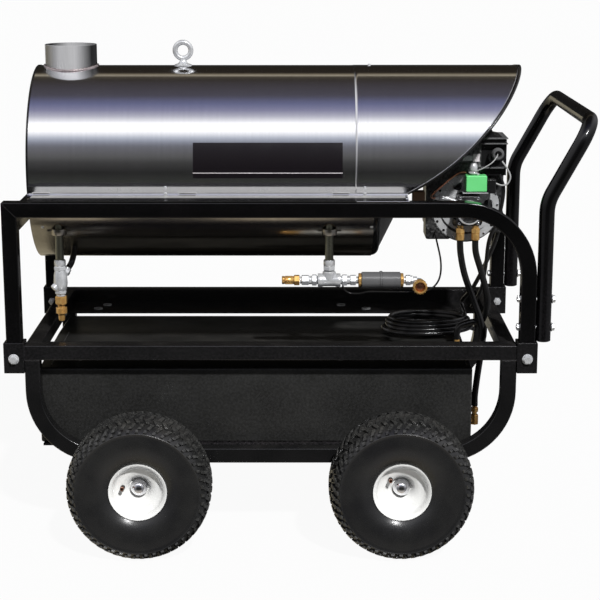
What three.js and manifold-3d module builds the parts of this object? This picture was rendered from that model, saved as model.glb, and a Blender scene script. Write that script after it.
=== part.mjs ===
// Hot-water generator cart: an oil-fired coil heater drum carried by a four-wheel
// square-tube cart, with the fuel tank hung under the deck.
// Millimetres, +Z up, floor at Z = 0. +X points to the burner and the push handle (the
// rear of the cart), and -Y is the side with the water fittings (the left of a person who
// pushes the cart). Places along X are counted from the line midway between the front and
// rear wheels. The finished cart is then moved, so that its origin is on the floor under
// the middle of its overall length and width.
import * as THREE from "three";
import { mergeVertices } from "three/addons/utils/BufferGeometryUtils.js";
import Module from "manifold-3d";

const { PI } = Math;
const QUARTER = PI / 2;
const SIDES = [-1, 1];

// ---------------------------------------------------------------- driving dimensions
const GAP = 0.3; // clearance between pieces that rest against each other
const WELD = 1; // how far welded pieces run into each other
const BEND_STEPS = { outside: 5, bore: 2 }; // half the facets of a frame bend

// Cart frame: square tube, bent side loops under a rectangular deck.
const TUBE = 38.1;
const TUBE_WALL = 3;
const FRAME_HALF_LENGTH = 616;
const FRAME_HALF_WIDTH = 343;
const DECK_TOP = 510;
const DECK_UNDER = DECK_TOP - TUBE;
const RAIL_UNDER = 203;
const RAIL_TOP = RAIL_UNDER + TUBE;
const CRADLE_BEND = 187;
const CROSS_TUBE_X = 200;
const RAIL_Y = FRAME_HALF_WIDTH - TUBE / 2; // centre line of every side rail
const DRAIN_HOLE = 4;

// Receiver sleeves at the four corners of the deck, and the bolts through them.
const SLEEVE = 50.8;
const SLEEVE_BOTTOM = 440;
const SLEEVE_TOP = 518;
const LEG_X = 641;
const LEG_OUTER = LEG_X + TUBE / 2;
const LEG_INNER = LEG_X - TUBE / 2;
const FRAME_BOLT_Z = 477;
const FRAME_BOLT = 6;

// Equipment strips inside the deck rails, with pairs of mounting holes.
const STRIP_WIDTH = 140;
const STRIP_THICK = 4;
const STRIP_HOLE = 6;
const STRIP_HOLES = [
  { x: -498, y: 211 },
  { x: -478, y: 257 },
  { x: 190, y: 257 },
  { x: 260, y: 211 },
];

// Upper cage: two hoops joined by a cross tube at the flue end.
const CAGE_TOP = 871;
const CAGE_FOOT = 446;
const CAGE_BEND = 188;

// Push handle: round tube bolted to the outside of the rear cage legs.
const HANDLE_RADIUS = 19;
const HANDLE_WALL = 2.5;
const HANDLE_SIDES = { outside: 12, bore: 8 };
const HANDLE_X = LEG_OUTER + HANDLE_RADIUS + 2.4;
const HANDLE_FOOT = 520;
const HANDLE_KNEE = 870;
const HANDLE_BAR_X = 788;
const HANDLE_BAR_Z = 1067;
const HANDLE_KNEE_BEND = 110;
const HANDLE_BAR_BEND = 65;
const HANDLE_BOLT = 5;
const HANDLE_BOLT_HEIGHTS = [554, 626];

// Hex bolts: sizes as multiples of the bolt's radius, and the washer's thickness.
const BOLT = { washer: 2.4, head: 1.9, nut: 1.8, nutHeight: 1.4, tip: 1.6 };
const WASHER_THICK = 2;

// The middle of the overall length, from the front sleeves to the handle's bar.
const OVERALL_MIDDLE_X = (HANDLE_BAR_X + HANDLE_RADIUS - LEG_X - SLEEVE / 2) / 2;

// Wheels: 15 x 6.00-6 turf tyres on two through axles.
const WHEEL_X = 324;
const WHEEL_Y = 443;
const TYRE_RADIUS = 182;
const WHEEL_SEGMENTS = 20;
const AXLE_Z = TYRE_RADIUS * Math.cos(PI / WHEEL_SEGMENTS); // a flat of the tyre meets the floor
const AXLE_RADIUS = 10;
const AXLE_CLEARANCE = 0.5;
const AXLE_HALF_LENGTH = 465;
const SADDLE = { length: 40, below: 14 }; // saddle plates that hold the axles

// Fuel tank.
const TANK_FRONT = -572;
const TANK_REAR = 511;
const TANK_NEAR = -293;
const TANK_FAR = 276;
const TANK_BOTTOM = RAIL_TOP + GAP + 0.2;
const TANK_TOP = 440;
const TANK_RIDGE = 6;
const TANK_RIDGE_Y = 62;
const TANK_CORNER = 10;
const TANK_WALL = 3;
const FILLER = { x: 430, y: 58, radius: 28, bore: 24, top: 462 };
const FILLER_CAP = { radius: 38, skirt: 14, crown: 14, chamfer: 4, clearance: 2 };
const TANK_PORT = { y: -160, z: 262, radius: 8 };
const TANK_ELBOW = { reach: 22, collar: 9, collarHex: 12, hex: 11, below: 11, above: 14, top: 38 };
const RETURN_SPUD = { x: 490, y: -85, radius: 7.5, top: 462 };

// Heater drum: two half jackets and a burner hood round one axis.
const DRUM_Z = 927;
const DRUM_RADIUS = 250;
const JACKET_WALL = 1.5;
const DRUM_FRONT = -610;
const JACKET_SEAM_X = 215;
const DRUM_REAR = 280;
const HOOD_REAR = 645;
const FLANGE_HALF_WIDTH = 341;
const LOWER_FLANGE_TOP = CAGE_TOP + GAP + JACKET_WALL;
const UPPER_FLANGE_UNDER = LOWER_FLANGE_TOP + GAP;
const HOOD_ARC = { x: 21, z: 1499, radius: 702 }; // side view of the hood's swept mouth

// Exhaust stack and lifting eye on top of the drum.
const STACK = { x: -523, radius: 67, wall: 1.5, bottom: 1141, top: 1232 };
const EYE = { x: -231.5, z: 1215.5, ring: 20.5, stock: 7, shank: 8, foot: 24, below: 22 };

// Heating coil inside the drum; both ends leave through the bottom of the jacket.
const COIL_RADIUS = 200;
const COIL_PIPE = 10.65;
const COIL_TURNS = 8;
const COIL_STATIONS = 10; // per turn
const COIL_SIDES = 5;
const COIL_RETURN_BEND = 30;
const STUB_Y = -COIL_RADIUS;
const OUTLET_X = -540;
const INLET_X = 148;
const STUB_END = 700;
const STUB_HOLE = 13;
const CHAMBER_RADIUS = 150;

// Water fittings: radii of the half-inch pipe pieces, and the heights of the outlet's.
const FITTING = { socketHex: 16.5, body: 14, pipe: 9.5, pipeHex: 13.5, branch: 10, tail: 11 };
const OUTLET = { socketEnd: 672, body: [673, 621], tail: [622, 606], branchFrom: 636 };
const OUTLET_BRANCH = [34, 22, 40]; // from the branch's start to its mouth
const TEE_Z = 647;
const TEE = { socketEnd: 674, halfLength: 27, valveEnd: 73, hexLength: 16 };
const RELIEF_VALVE = { body: [27, 60], bodyRadius: 10, hex: [55, 72.4], hexRadius: 12.5 };
const ELBOW = { hex: [6, 20], back: 17, face: -14, mouth: -26 };
const SWIVEL = { x: 379, z: 636, radius: 18 };
const FLOW_SWITCH = { from: 223, to: 338, radius: 23, collar: 18, bore: 9 };
const FLOW_PISTON = { radius: 8.4, from: 262, length: 22 };

// Burner: fan centre, and the near and far faces of its housing.
const FAN_X = 512;
const FAN_Z = 822;
const FAN_RADIUS = 66;
const FAN_RIM = 10;
const FAN_FAR = 30;
const FAN_INLET = 14;
const HOUSING_NEAR = -62;
const HOUSING_FAR = 48;
const HOUSING_WALL = 5;
const HOUSING_LEFT = 403;
const HOUSING_RIGHT = 545;
const HOUSING_TOP = 985;
const SCROLL_RADIUS = 82;
const SHUTTER_RADIUS = 75;
const AIR_PORTS = 6;
const AIR_PORT_RADIUS = 13;
const AIR_PORT_CIRCLE = 55;
const SHAFT = 6;
const PUMP_RADIUS = 34;
const PUMP_NEAR = -128;
const PUMP_PORTS_X = [491, 531];
const PUMP_PORT_Y = -98;
const PUMP_PORT_Z = 750;
const PUMP_PORT = { radius: 7, hex: 10 };
const SOLENOID = { x: 526, y: -98, neck: 11, left: 502, right: 556, depth: 19, under: 871, over: 907 };
const SOLENOID_STEM = { x: 518, radius: 9, top: 928 };
const BLAST_RADIUS = 50;
const BLAST_BORE = 47.5;
const BLAST_FLANGE = 92;
const BLAST_COLLAR = 66;
const BLAST_END = 250;
const NOZZLE = { tip: 275, holder: 300, hex: 470, end: 482, radius: 6 };
const IGNITER = { left: 420, right: 543, near: -50, far: 40, top: 1040, base: 5, hinge: 5 };
const BOX = { left: HOUSING_RIGHT + GAP, right: 611, near: -62, far: 48, bottom: 897, top: 1016 };
const BOOT = { x: 575, z: 945, length: 16 };
const BUTTON = { y: 15, z: 985, radius: 7 };

// Flexible lines.
const HOSE_RADIUS = 8.5;
const CORD_RADIUS = 6.5;
const CORD_COIL = { loops: 3, perLoop: 8, halfLength: 112, halfWidth: 90, rise: 15, above: 14.5 };

// ---------------------------------------------------------------- joining and cutting
const wasm = await Module();
wasm.setup();

function toSolid(geometry) {
  const loose = geometry.index ? geometry.toNonIndexed() : geometry;
  const plain = new THREE.BufferGeometry();
  plain.setAttribute("position", loose.getAttribute("position"));
  const merged = mergeVertices(plain, 1e-3);
  return new wasm.Manifold(
    new wasm.Mesh({
      numProp: 3,
      vertProperties: merged.attributes.position.array,
      triVerts: new Uint32Array(merged.index.array),
    }),
  );
}

function toGeometry(body) {
  const mesh = body.getMesh();
  const geometry = new THREE.BufferGeometry();
  geometry.setAttribute("position", new THREE.BufferAttribute(mesh.vertProperties, 3));
  geometry.setIndex(new THREE.BufferAttribute(mesh.triVerts, 1));
  geometry.computeVertexNormals();
  return geometry;
}

function join(pieces) {
  return toGeometry(pieces.map(toSolid).reduce((whole, piece) => whole.add(piece)));
}

function cut(base, tools) {
  return toGeometry(tools.map(toSolid).reduce((left, tool) => left.subtract(tool), toSolid(base)));
}

function meet(one, other) {
  return toGeometry(toSolid(one).intersect(toSolid(other)));
}

// ---------------------------------------------------------------- basic shapes
function block([x0, x1], [y0, y1], [z0, z1]) {
  const box = new THREE.BoxGeometry(x1 - x0, y1 - y0, z1 - z0);
  return box.translate((x0 + x1) / 2, (y0 + y1) / 2, (z0 + z1) / 2);
}

// A round bar between two points; it tapers where a second radius is given.
function bar(from, to, radius, sides = 12, endRadius = radius) {
  const start = new THREE.Vector3(...from);
  const end = new THREE.Vector3(...to);
  const middle = start.clone().add(end).divideScalar(2);
  const along = end.clone().sub(start);
  const shape = new THREE.CylinderGeometry(endRadius, radius, along.length(), sides);
  const up = new THREE.Vector3(0, 1, 0);
  shape.applyQuaternion(new THREE.Quaternion().setFromUnitVectors(up, along.normalize()));
  return shape.translate(...middle);
}

// A profile of [radius, distance] points turned about a line along x, y or z through a
// point. A profile that doesn't start on the line is closed on itself.
function turned(profile, axis, [x, y, z], segments = 24) {
  const points = profile.map(([radius, distance]) => new THREE.Vector2(radius, distance));
  if (THREE.ShapeUtils.area(points) < 0) points.reverse();
  if (points[0].x > 0) points.push(points[0].clone());
  const shape = new THREE.LatheGeometry(points, segments);
  if (axis === "x") shape.rotateZ(-QUARTER);
  if (axis === "z") shape.rotateX(QUARTER);
  return shape.translate(x, y, z);
}

// A shape drawn in X and Z, extruded along Y.
function alongY(shape, [y0, y1], curveSegments = 5) {
  const options = { depth: y1 - y0, bevelEnabled: false, curveSegments };
  return new THREE.ExtrudeGeometry(shape, options).rotateX(QUARTER).translate(0, y1, 0);
}

// A shape drawn in Y and Z, extruded along X.
function alongX(shape, [x0, x1], curveSegments = 5) {
  const options = { depth: x1 - x0, bevelEnabled: false, curveSegments };
  const turn = new THREE.Matrix4().makeBasis(
    new THREE.Vector3(0, 1, 0),
    new THREE.Vector3(0, 0, 1),
    new THREE.Vector3(1, 0, 0),
  );
  return new THREE.ExtrudeGeometry(shape, options).applyMatrix4(turn).translate(x0, 0, 0);
}

// ---------------------------------------------------------------- bent round tubes
// A centre line that is only known at its own stations, so that a straight run costs
// one pair of stations and all the others go into the bends.
class Centreline extends THREE.Curve {
  constructor(stations) {
    super();
    this.stations = stations;
  }

  at(t) {
    return this.stations[Math.round(t * (this.stations.length - 1))];
  }

  getPoint(t) {
    return this.at(t).point.clone();
  }

  getPointAt(t) {
    return this.getPoint(t);
  }

  getTangent(t) {
    return this.at(t).tangent.clone();
  }

  getTangentAt(t) {
    return this.getTangent(t);
  }
}

// Stations of a polyline whose corners are rounded: corners are [x, y, z, bend radius].
function bentStations(corners, bendSteps = 4) {
  const points = corners.map(([x, y, z]) => new THREE.Vector3(x, y, z));
  const direction = (from, to) => to.clone().sub(from).normalize();
  const stations = [{ point: points[0], tangent: direction(points[0], points[1]) }];
  for (let i = 1; i < points.length - 1; i++) {
    const into = direction(points[i - 1], points[i]);
    const out = direction(points[i], points[i + 1]);
    const turn = into.angleTo(out);
    const bend = corners[i][3];
    const axis = into.clone().cross(out).normalize();
    const start = points[i].clone().addScaledVector(into, -bend * Math.tan(turn / 2));
    const centre = start.clone().addScaledVector(axis.clone().cross(into), bend);
    for (let k = 0; k <= bendSteps; k++) {
      const angle = (turn * k) / bendSteps;
      const spoke = start.clone().sub(centre).applyAxisAngle(axis, angle);
      stations.push({ point: spoke.add(centre), tangent: into.clone().applyAxisAngle(axis, angle) });
    }
  }
  const last = points.length - 1;
  stations.push({ point: points[last], tangent: direction(points[last - 1], points[last]) });
  return stations;
}

function ring(radius, sides, Type = THREE.Shape) {
  const shape = new Type();
  for (let i = 0; i < sides; i++) {
    const angle = (2 * PI * i) / sides;
    const corner = [radius * Math.cos(angle), radius * Math.sin(angle)];
    if (i === 0) shape.moveTo(...corner);
    else shape.lineTo(...corner);
  }
  shape.closePath();
  return shape;
}

// A round bar along stations, or a tube where a bore is given.
function roundBar(stations, radius, sides, bore) {
  const section = ring(radius, sides);
  if (bore) section.holes.push(ring(bore.radius, bore.sides, THREE.Path));
  const options = { steps: stations.length - 1, extrudePath: new Centreline(stations) };
  return new THREE.ExtrudeGeometry(section, options);
}

// A soft line through points, with evenly spaced stations.
function softLine(points, radius, steps, sides = 8) {
  const path = new THREE.CatmullRomCurve3(points.map((p) => new THREE.Vector3(...p)));
  return new THREE.ExtrudeGeometry(ring(radius, sides), { steps, extrudePath: path });
}

// ---------------------------------------------------------------- the model
const finishes = {
  powderCoat: { color: 0x0a0a0b, roughness: 0.3, metalness: 0.2 },
  stainless: { color: 0xa9abb3, roughness: 0.32, metalness: 1 },
  darkStainless: { color: 0x6f6a5e, roughness: 0.3, metalness: 1 },
  zinc: { color: 0xc4c7c9, roughness: 0.35, metalness: 1 },
  chrome: { color: 0xdadde0, roughness: 0.12, metalness: 1 },
  brass: { color: 0xb5833c, roughness: 0.3, metalness: 1 },
  pipe: { color: 0x8b8f85, roughness: 0.45, metalness: 0.9 },
  tyre: { color: 0x17181a, roughness: 0.6, metalness: 0 },
  rimPaint: { color: 0xe9e9e7, roughness: 0.3, metalness: 0 },
  tankPaint: { color: 0x141415, roughness: 0.45, metalness: 0.1 },
  castBlack: { color: 0x161718, roughness: 0.5, metalness: 0.3 },
  plastic: { color: 0x1d1e20, roughness: 0.5, metalness: 0 },
  green: { color: 0x57c46a, roughness: 0.45, metalness: 0 },
  red: { color: 0xb3261e, roughness: 0.4, metalness: 0 },
  rubber: { color: 0x0e0e0f, roughness: 0.55, metalness: 0 },
  ceramic: { color: 0xcfc6b4, roughness: 0.9, metalness: 0 },
};

const cart = new THREE.Group();

function add(name, geometry, finish, parent = cart) {
  const mesh = new THREE.Mesh(geometry, new THREE.MeshStandardMaterial(finishes[finish]));
  mesh.name = name;
  parent.add(mesh);
  return mesh;
}

// ---------------------------------------------------------------- lower frame
// Side view of one bent side loop; inset draws its bore, which runs up into the deck rail.
function cradleShape(inset) {
  const end = FRAME_HALF_LENGTH - inset;
  const thick = TUBE - 2 * inset;
  const outer = CRADLE_BEND - inset;
  const inner = outer - thick;
  const low = RAIL_UNDER + inset;
  const high = DECK_UNDER + WELD + 2 * inset;
  const shape = new THREE.Shape();
  shape.moveTo(end, high);
  shape.lineTo(end - thick, high);
  shape.absarc(end - outer, low + outer, inner, 0, -QUARTER, true);
  shape.absarc(-end + outer, low + outer, inner, -QUARTER, -PI, true);
  shape.lineTo(-end + thick, high);
  shape.lineTo(-end, high);
  shape.absarc(-end + outer, low + outer, outer, -PI, -QUARTER, false);
  shape.absarc(end - outer, low + outer, outer, -QUARTER, 0, false);
  return shape;
}

function bendSteps(inset) {
  return inset > 0 ? BEND_STEPS.bore : BEND_STEPS.outside;
}

function railSpan(side, inset) {
  const half = TUBE / 2 - inset;
  return [side * RAIL_Y - half, side * RAIL_Y + half];
}

// The welded tubes of the lower frame, drawn whole or, with an inset, as their bores.
function lowerTubes(inset) {
  const endSpan = [FRAME_HALF_LENGTH - TUBE + inset, FRAME_HALF_LENGTH - inset];
  const deckSpan = [DECK_UNDER + inset, DECK_TOP - inset];
  const crossSpan = [-RAIL_Y, RAIL_Y];
  const tubes = [];
  for (const side of SIDES) {
    const length = FRAME_HALF_LENGTH - inset;
    tubes.push(alongY(cradleShape(inset), railSpan(side, inset), bendSteps(inset)));
    tubes.push(block([-length, length], railSpan(side, inset), deckSpan));
    const ends = endSpan.map((x) => side * x).sort((a, b) => a - b);
    tubes.push(block(ends, crossSpan, deckSpan));
    const cross = side * CROSS_TUBE_X;
    const half = TUBE / 2 - inset;
    tubes.push(block([cross - half, cross + half], crossSpan, [RAIL_UNDER + inset, RAIL_TOP - inset]));
  }
  return join(tubes);
}

function corners() {
  return SIDES.flatMap((end) => SIDES.map((side) => ({ end, side })));
}

function makeLowerFrame() {
  const solids = [lowerTubes(0)];
  const cuts = [lowerTubes(TUBE_WALL)];
  for (const { end, side } of corners()) {
    const sleeveAt = (half) => [
      [end * LEG_X - half, end * LEG_X + half],
      [side * RAIL_Y - half, side * RAIL_Y + half],
    ];
    solids.push(block(...sleeveAt(SLEEVE / 2), [SLEEVE_BOTTOM, SLEEVE_TOP]));
    cuts.push(block(...sleeveAt(TUBE / 2 + GAP), [SLEEVE_BOTTOM - WELD, SLEEVE_TOP + WELD]));
    cuts.push(crossBore(end, side));

    const saddleX = [end * WHEEL_X - SADDLE.length / 2, end * WHEEL_X + SADDLE.length / 2];
    const saddleZ = [AXLE_Z - SADDLE.below, RAIL_UNDER + WELD];
    solids.push(block(saddleX, railSpan(side, 0), saddleZ));
    const drain = [end * WHEEL_X + SADDLE.length, side * RAIL_Y];
    cuts.push(bar([...drain, RAIL_UNDER - WELD], [...drain, RAIL_UNDER + TUBE / 2], DRAIN_HOLE, 6));
  }
  for (const end of SIDES) {
    const at = (y) => [end * WHEEL_X, y, AXLE_Z];
    cuts.push(bar(at(-FRAME_HALF_WIDTH - WELD), at(FRAME_HALF_WIDTH + WELD), AXLE_RADIUS + AXLE_CLEARANCE));
  }
  for (const side of SIDES) {
    const inner = FRAME_HALF_WIDTH - TUBE - STRIP_WIDTH;
    const span = [side * (inner + STRIP_WIDTH + WELD), side * inner].sort((a, b) => a - b);
    const reach = FRAME_HALF_LENGTH - TUBE + WELD;
    solids.push(block([-reach, reach], span, [DECK_UNDER, DECK_UNDER + STRIP_THICK]));
    for (const hole of STRIP_HOLES) {
      const at = (z) => [hole.x, side * hole.y, z];
      cuts.push(bar(at(DECK_UNDER - WELD), at(DECK_UNDER + 2 * STRIP_THICK), STRIP_HOLE, 8));
    }
  }
  return cut(join(solids), cuts);
}

// The hole for a frame bolt, right through one corner.
function crossBore(end, side) {
  const at = (y) => [end * LEG_X, side * RAIL_Y + y, FRAME_BOLT_Z];
  return bar(at(-SLEEVE), at(SLEEVE), FRAME_BOLT + 2 * GAP, 8);
}

add("lower_frame", makeLowerFrame(), "powderCoat");

// ---------------------------------------------------------------- upper cage
// Side view of one hoop; the bore runs out of its open feet.
function hoopShape(inset) {
  const end = LEG_OUTER - inset;
  const thick = TUBE - 2 * inset;
  const outer = CAGE_BEND - inset;
  const top = CAGE_TOP - inset;
  const foot = CAGE_FOOT - inset;
  const shape = new THREE.Shape();
  shape.moveTo(-end, foot);
  shape.lineTo(-end, top);
  shape.absarc(end - outer, top - outer, outer, QUARTER, 0, true);
  shape.lineTo(end, foot);
  shape.lineTo(end - thick, foot);
  shape.absarc(end - outer, top - outer, outer - thick, 0, QUARTER, false);
  shape.lineTo(-end + thick, top - thick);
  shape.lineTo(-end + thick, foot);
  return shape;
}

function cageTubes(inset) {
  const hoops = SIDES.map((side) =>
    alongY(hoopShape(inset), railSpan(side, inset), bendSteps(inset)),
  );
  const under = CAGE_TOP - TUBE;
  const across = [-LEG_OUTER + inset, -LEG_INNER - inset];
  return join([...hoops, block(across, [-RAIL_Y, RAIL_Y], [under - TUBE + inset, under - inset])]);
}

function handleBoltLine(side, height, radius, [from, to]) {
  return bar([from, side * RAIL_Y, height], [to, side * RAIL_Y, height], radius, 8);
}

function handleBores() {
  const reach = [LEG_INNER - TUBE, HANDLE_X + TUBE];
  return SIDES.flatMap((side) =>
    HANDLE_BOLT_HEIGHTS.map((height) => handleBoltLine(side, height, HANDLE_BOLT + 2 * GAP, reach)),
  );
}

function makeUpperCage() {
  const crossBores = corners().map(({ end, side }) => crossBore(end, side));
  return cut(cageTubes(0), [cageTubes(TUBE_WALL), ...crossBores, ...handleBores()]);
}

add("upper_cage", makeUpperCage(), "powderCoat");

// A hex bolt with washer and nut, turned to lie along Y or X by the caller's points.
// Grip faces are the outer faces of the pieces it clamps.
function boltAlong(place, grip, radius) {
  const [head, nut] = grip;
  const away = Math.sign(head - nut);
  const seat = head + away * 2 * GAP;
  const nutSeat = nut - away * 2 * GAP;
  return join([
    bar(place(seat + away), place(nutSeat - away * radius * BOLT.tip), radius, 8),
    bar(place(seat), place(seat + away * WASHER_THICK), radius * BOLT.washer, 10),
    bar(place(seat + away), place(seat + away * (radius + 3)), radius * BOLT.head, 6),
    bar(place(nutSeat), place(nutSeat - away * radius * BOLT.nutHeight), radius * BOLT.nut, 6),
  ]);
}

corners().forEach(({ end, side }, index) => {
  const place = (y) => [end * LEG_X, y, FRAME_BOLT_Z];
  const grip = [side * (RAIL_Y + SLEEVE / 2), side * (RAIL_Y - SLEEVE / 2)];
  add("frame_bolt_" + (index + 1), boltAlong(place, grip, FRAME_BOLT), "zinc");
});

// ---------------------------------------------------------------- push handle
function makeHandle() {
  const near = [
    [HANDLE_X, -RAIL_Y, HANDLE_FOOT],
    [HANDLE_X, -RAIL_Y, HANDLE_KNEE, HANDLE_KNEE_BEND],
    [HANDLE_BAR_X, -RAIL_Y, HANDLE_BAR_Z, HANDLE_BAR_BEND],
  ];
  const far = near.map(([x, y, z, bend]) => [x, -y, z, bend]).reverse();
  const bore = { radius: HANDLE_RADIUS - HANDLE_WALL, sides: HANDLE_SIDES.bore };
  const line = bentStations([...near, ...far], 3);
  return cut(roundBar(line, HANDLE_RADIUS, HANDLE_SIDES.outside, bore), handleBores());
}

add("handle", makeHandle(), "powderCoat");

SIDES.forEach((side, row) => {
  HANDLE_BOLT_HEIGHTS.forEach((height, index) => {
    const place = (x) => [x, side * RAIL_Y, height];
    const grip = [HANDLE_X + HANDLE_RADIUS, LEG_INNER];
    add("handle_bolt_" + (2 * row + index + 1), boltAlong(place, grip, HANDLE_BOLT), "zinc");
  });
});

// ---------------------------------------------------------------- wheels
// Profiles are [radius, distance outboard of the wheel's middle plane].
const TYRE_SIDE = [
  [66, 38],
  [66, 49],
  [100, 73],
  [145, 73],
  [172, 58],
  [TYRE_RADIUS, 42],
];
const TYRE_LINING = [
  [174, 38],
  [120, 64],
];
const RIM_PROFILE = [
  [10.4, -46],
  [20, -46],
  [20, 8],
  [62, 8],
  [62, -56],
  [72, -56],
  [65, -50],
  [65, 50],
  [72, 56],
  [62, 56],
  [62, 11.5],
  [20, 11.5],
  [20, 12],
  [10.4, 12],
];
const HUB_CAP_PROFILE = [
  [17, 12.5],
  [21.5, 12.5],
  [21.5, 22],
  [15, 32],
  [0, 36],
  [0, 33],
  [13, 28],
  [17, 21],
];

// The same points on the inboard side, in the opposite order.
function inboard(profile) {
  return profile.map(([radius, distance]) => [radius, -distance]).reverse();
}

// The outside from bead to bead, then the lining back again.
const TYRE_PROFILE = [
  ...TYRE_SIDE,
  ...inboard(TYRE_SIDE),
  ...inboard(TYRE_LINING),
  ...TYRE_LINING,
];

function addWheel(place, end, side) {
  const wheel = new THREE.Group();
  wheel.position.set(end * WHEEL_X, side * WHEEL_Y, AXLE_Z);
  wheel.rotation.z = side > 0 ? 0 : PI;
  cart.add(wheel);
  const centre = [0, 0, 0];
  const round = (profile) =>
    turned(profile, "y", centre, WHEEL_SEGMENTS).rotateY(PI / WHEEL_SEGMENTS);
  add("tyre_" + place, round(TYRE_PROFILE), "tyre", wheel);
  add("rim_" + place, round(RIM_PROFILE), "rimPaint", wheel);
  add("hub_cap_" + place, turned(HUB_CAP_PROFILE, "y", centre, 10), "chrome", wheel);
}

for (const { end, side } of corners()) {
  const place = (end < 0 ? "front_" : "rear_") + (side < 0 ? "left" : "right");
  addWheel(place, end, side);
}

for (const end of SIDES) {
  const at = (y) => [end * WHEEL_X, y, AXLE_Z];
  const axle = bar(at(-AXLE_HALF_LENGTH), at(AXLE_HALF_LENGTH), AXLE_RADIUS);
  add(end < 0 ? "front_axle" : "rear_axle", axle, "zinc");
}

// ---------------------------------------------------------------- fuel tank
// End view of the tank, or of its inside where inset is the wall.
function tankShape(inset) {
  const near = TANK_NEAR + inset;
  const far = TANK_FAR - inset;
  const low = TANK_BOTTOM + inset;
  const high = TANK_TOP - inset;
  const round = TANK_CORNER - inset;
  const shape = new THREE.Shape();
  shape.moveTo(near + round, low);
  shape.absarc(far - round, low + round, round, -QUARTER, 0, false);
  shape.absarc(far - round, high - round, round, 0, QUARTER, false);
  shape.lineTo(TANK_RIDGE_Y, high + TANK_RIDGE);
  shape.absarc(near + round, high - round, round, QUARTER, PI, false);
  shape.absarc(near + round, low + round, round, PI, 3 * QUARTER, false);
  return shape;
}

function makeTank() {
  const { x, y, radius, bore, top } = FILLER;
  const neckFoot = TANK_TOP - 2 * TANK_WALL;
  const spud = [RETURN_SPUD.x, RETURN_SPUD.y];
  const shell = join([
    alongX(tankShape(0), [TANK_FRONT, TANK_REAR], 2),
    bar([x, y, neckFoot], [x, y, top], radius, 18),
    bar([...spud, TANK_TOP - WELD], [...spud, RETURN_SPUD.top], RETURN_SPUD.radius),
  ]);
  const port = (px) => [px, TANK_PORT.y, TANK_PORT.z];
  return cut(shell, [
    alongX(tankShape(TANK_WALL), [TANK_FRONT + TANK_WALL, TANK_REAR - TANK_WALL], 2),
    bar([x, y, neckFoot - 2 * TANK_WALL], [x, y, top + WELD], bore, 18),
    bar(port(TANK_REAR - 3 * TANK_WALL), port(TANK_REAR + WELD), TANK_PORT.radius + GAP),
  ]);
}

add("fuel_tank", makeTank(), "tankPaint");

function makeTankCap() {
  const { radius, skirt, crown, chamfer, clearance } = FILLER_CAP;
  const bore = FILLER.radius + clearance;
  const profile = [
    [bore, -skirt],
    [radius, -skirt],
    [radius, crown - chamfer],
    [radius - chamfer, crown],
    [0, crown],
    [0, WELD],
    [bore, WELD],
  ];
  return turned(profile, "z", [FILLER.x, FILLER.y, FILLER.top], 20);
}

add("tank_cap", makeTankCap(), "plastic");

function makeTankFitting() {
  const { y, z, radius } = TANK_PORT;
  const { reach, collar, collarHex, hex, below, above, top } = TANK_ELBOW;
  const bend = TANK_REAR + reach;
  return join([
    bar([TANK_REAR - 2 * TANK_WALL, y, z], [bend, y, z], radius - GAP),
    bar([TANK_REAR + GAP, y, z], [TANK_REAR + collar, y, z], collarHex, 6),
    bar([bend, y, z - below], [bend, y, z + above], hex, 6),
    bar([bend, y, z + above - WELD], [bend, y, z + top], radius - 1),
  ]);
}

add("tank_fitting", makeTankFitting(), "brass");

// ---------------------------------------------------------------- heater drum
// Half a jacket in end view: an arc with a flat flange on each side. The upper half's
// flanges lie on the lower half's, and those on the top rails of the cage.
function jacketShape(half) {
  const inner = DRUM_RADIUS - JACKET_WALL;
  const outerEdge = half > 0 ? UPPER_FLANGE_UNDER + JACKET_WALL : LOWER_FLANGE_TOP - JACKET_WALL;
  const innerEdge = half > 0 ? UPPER_FLANGE_UNDER : LOWER_FLANGE_TOP;
  const outerAngle = Math.asin((outerEdge - DRUM_Z) / DRUM_RADIUS);
  const innerAngle = Math.asin((innerEdge - DRUM_Z) / inner);
  const shape = new THREE.Shape();
  shape.moveTo(FLANGE_HALF_WIDTH, innerEdge);
  shape.lineTo(FLANGE_HALF_WIDTH, outerEdge);
  shape.absarc(0, DRUM_Z, DRUM_RADIUS, outerAngle, PI - outerAngle, half < 0);
  shape.lineTo(-FLANGE_HALF_WIDTH, outerEdge);
  shape.lineTo(-FLANGE_HALF_WIDTH, innerEdge);
  shape.absarc(0, DRUM_Z, inner, PI - innerAngle, innerAngle, half > 0);
  return shape;
}

function upperJacket(span) {
  return alongX(jacketShape(1), span, 14);
}

function makeUpperShell() {
  const above = DRUM_Z + DRUM_RADIUS + TUBE;
  const inside = DRUM_Z + DRUM_RADIUS / 2;
  const hole = ({ x }, radius, sides) => bar([x, 0, inside], [x, 0, above], radius, sides);
  const holes = [hole(STACK, STACK.radius + GAP, 24), hole(EYE, EYE.shank + GAP, 12)];
  return cut(upperJacket([DRUM_FRONT, JACKET_SEAM_X]), holes);
}

add("upper_shell", makeUpperShell(), "stainless");

// The hood carries the upper jacket on over the burner; its mouth is swept back in side view.
function makeHood() {
  const mouth = new THREE.Shape();
  const { x, z, radius } = HOOD_ARC;
  mouth.absarc(x, z, radius, -QUARTER, -PI / 8, false);
  mouth.lineTo(x, z);
  const reach = [-FRAME_HALF_WIDTH - WELD, FRAME_HALF_WIDTH + WELD];
  return meet(upperJacket([JACKET_SEAM_X + GAP, HOOD_REAR]), alongY(mouth, reach, 14));
}

add("burner_hood", makeHood(), "stainless");

function makeLowerShell() {
  const stubHole = (x) =>
    bar([x, STUB_Y, DRUM_Z - DRUM_RADIUS], [x, STUB_Y, DRUM_Z - TUBE], STUB_HOLE);
  const jacket = alongX(jacketShape(-1), [DRUM_FRONT, DRUM_REAR], 14);
  return cut(jacket, [stubHole(OUTLET_X), stubHole(INLET_X)]);
}

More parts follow.
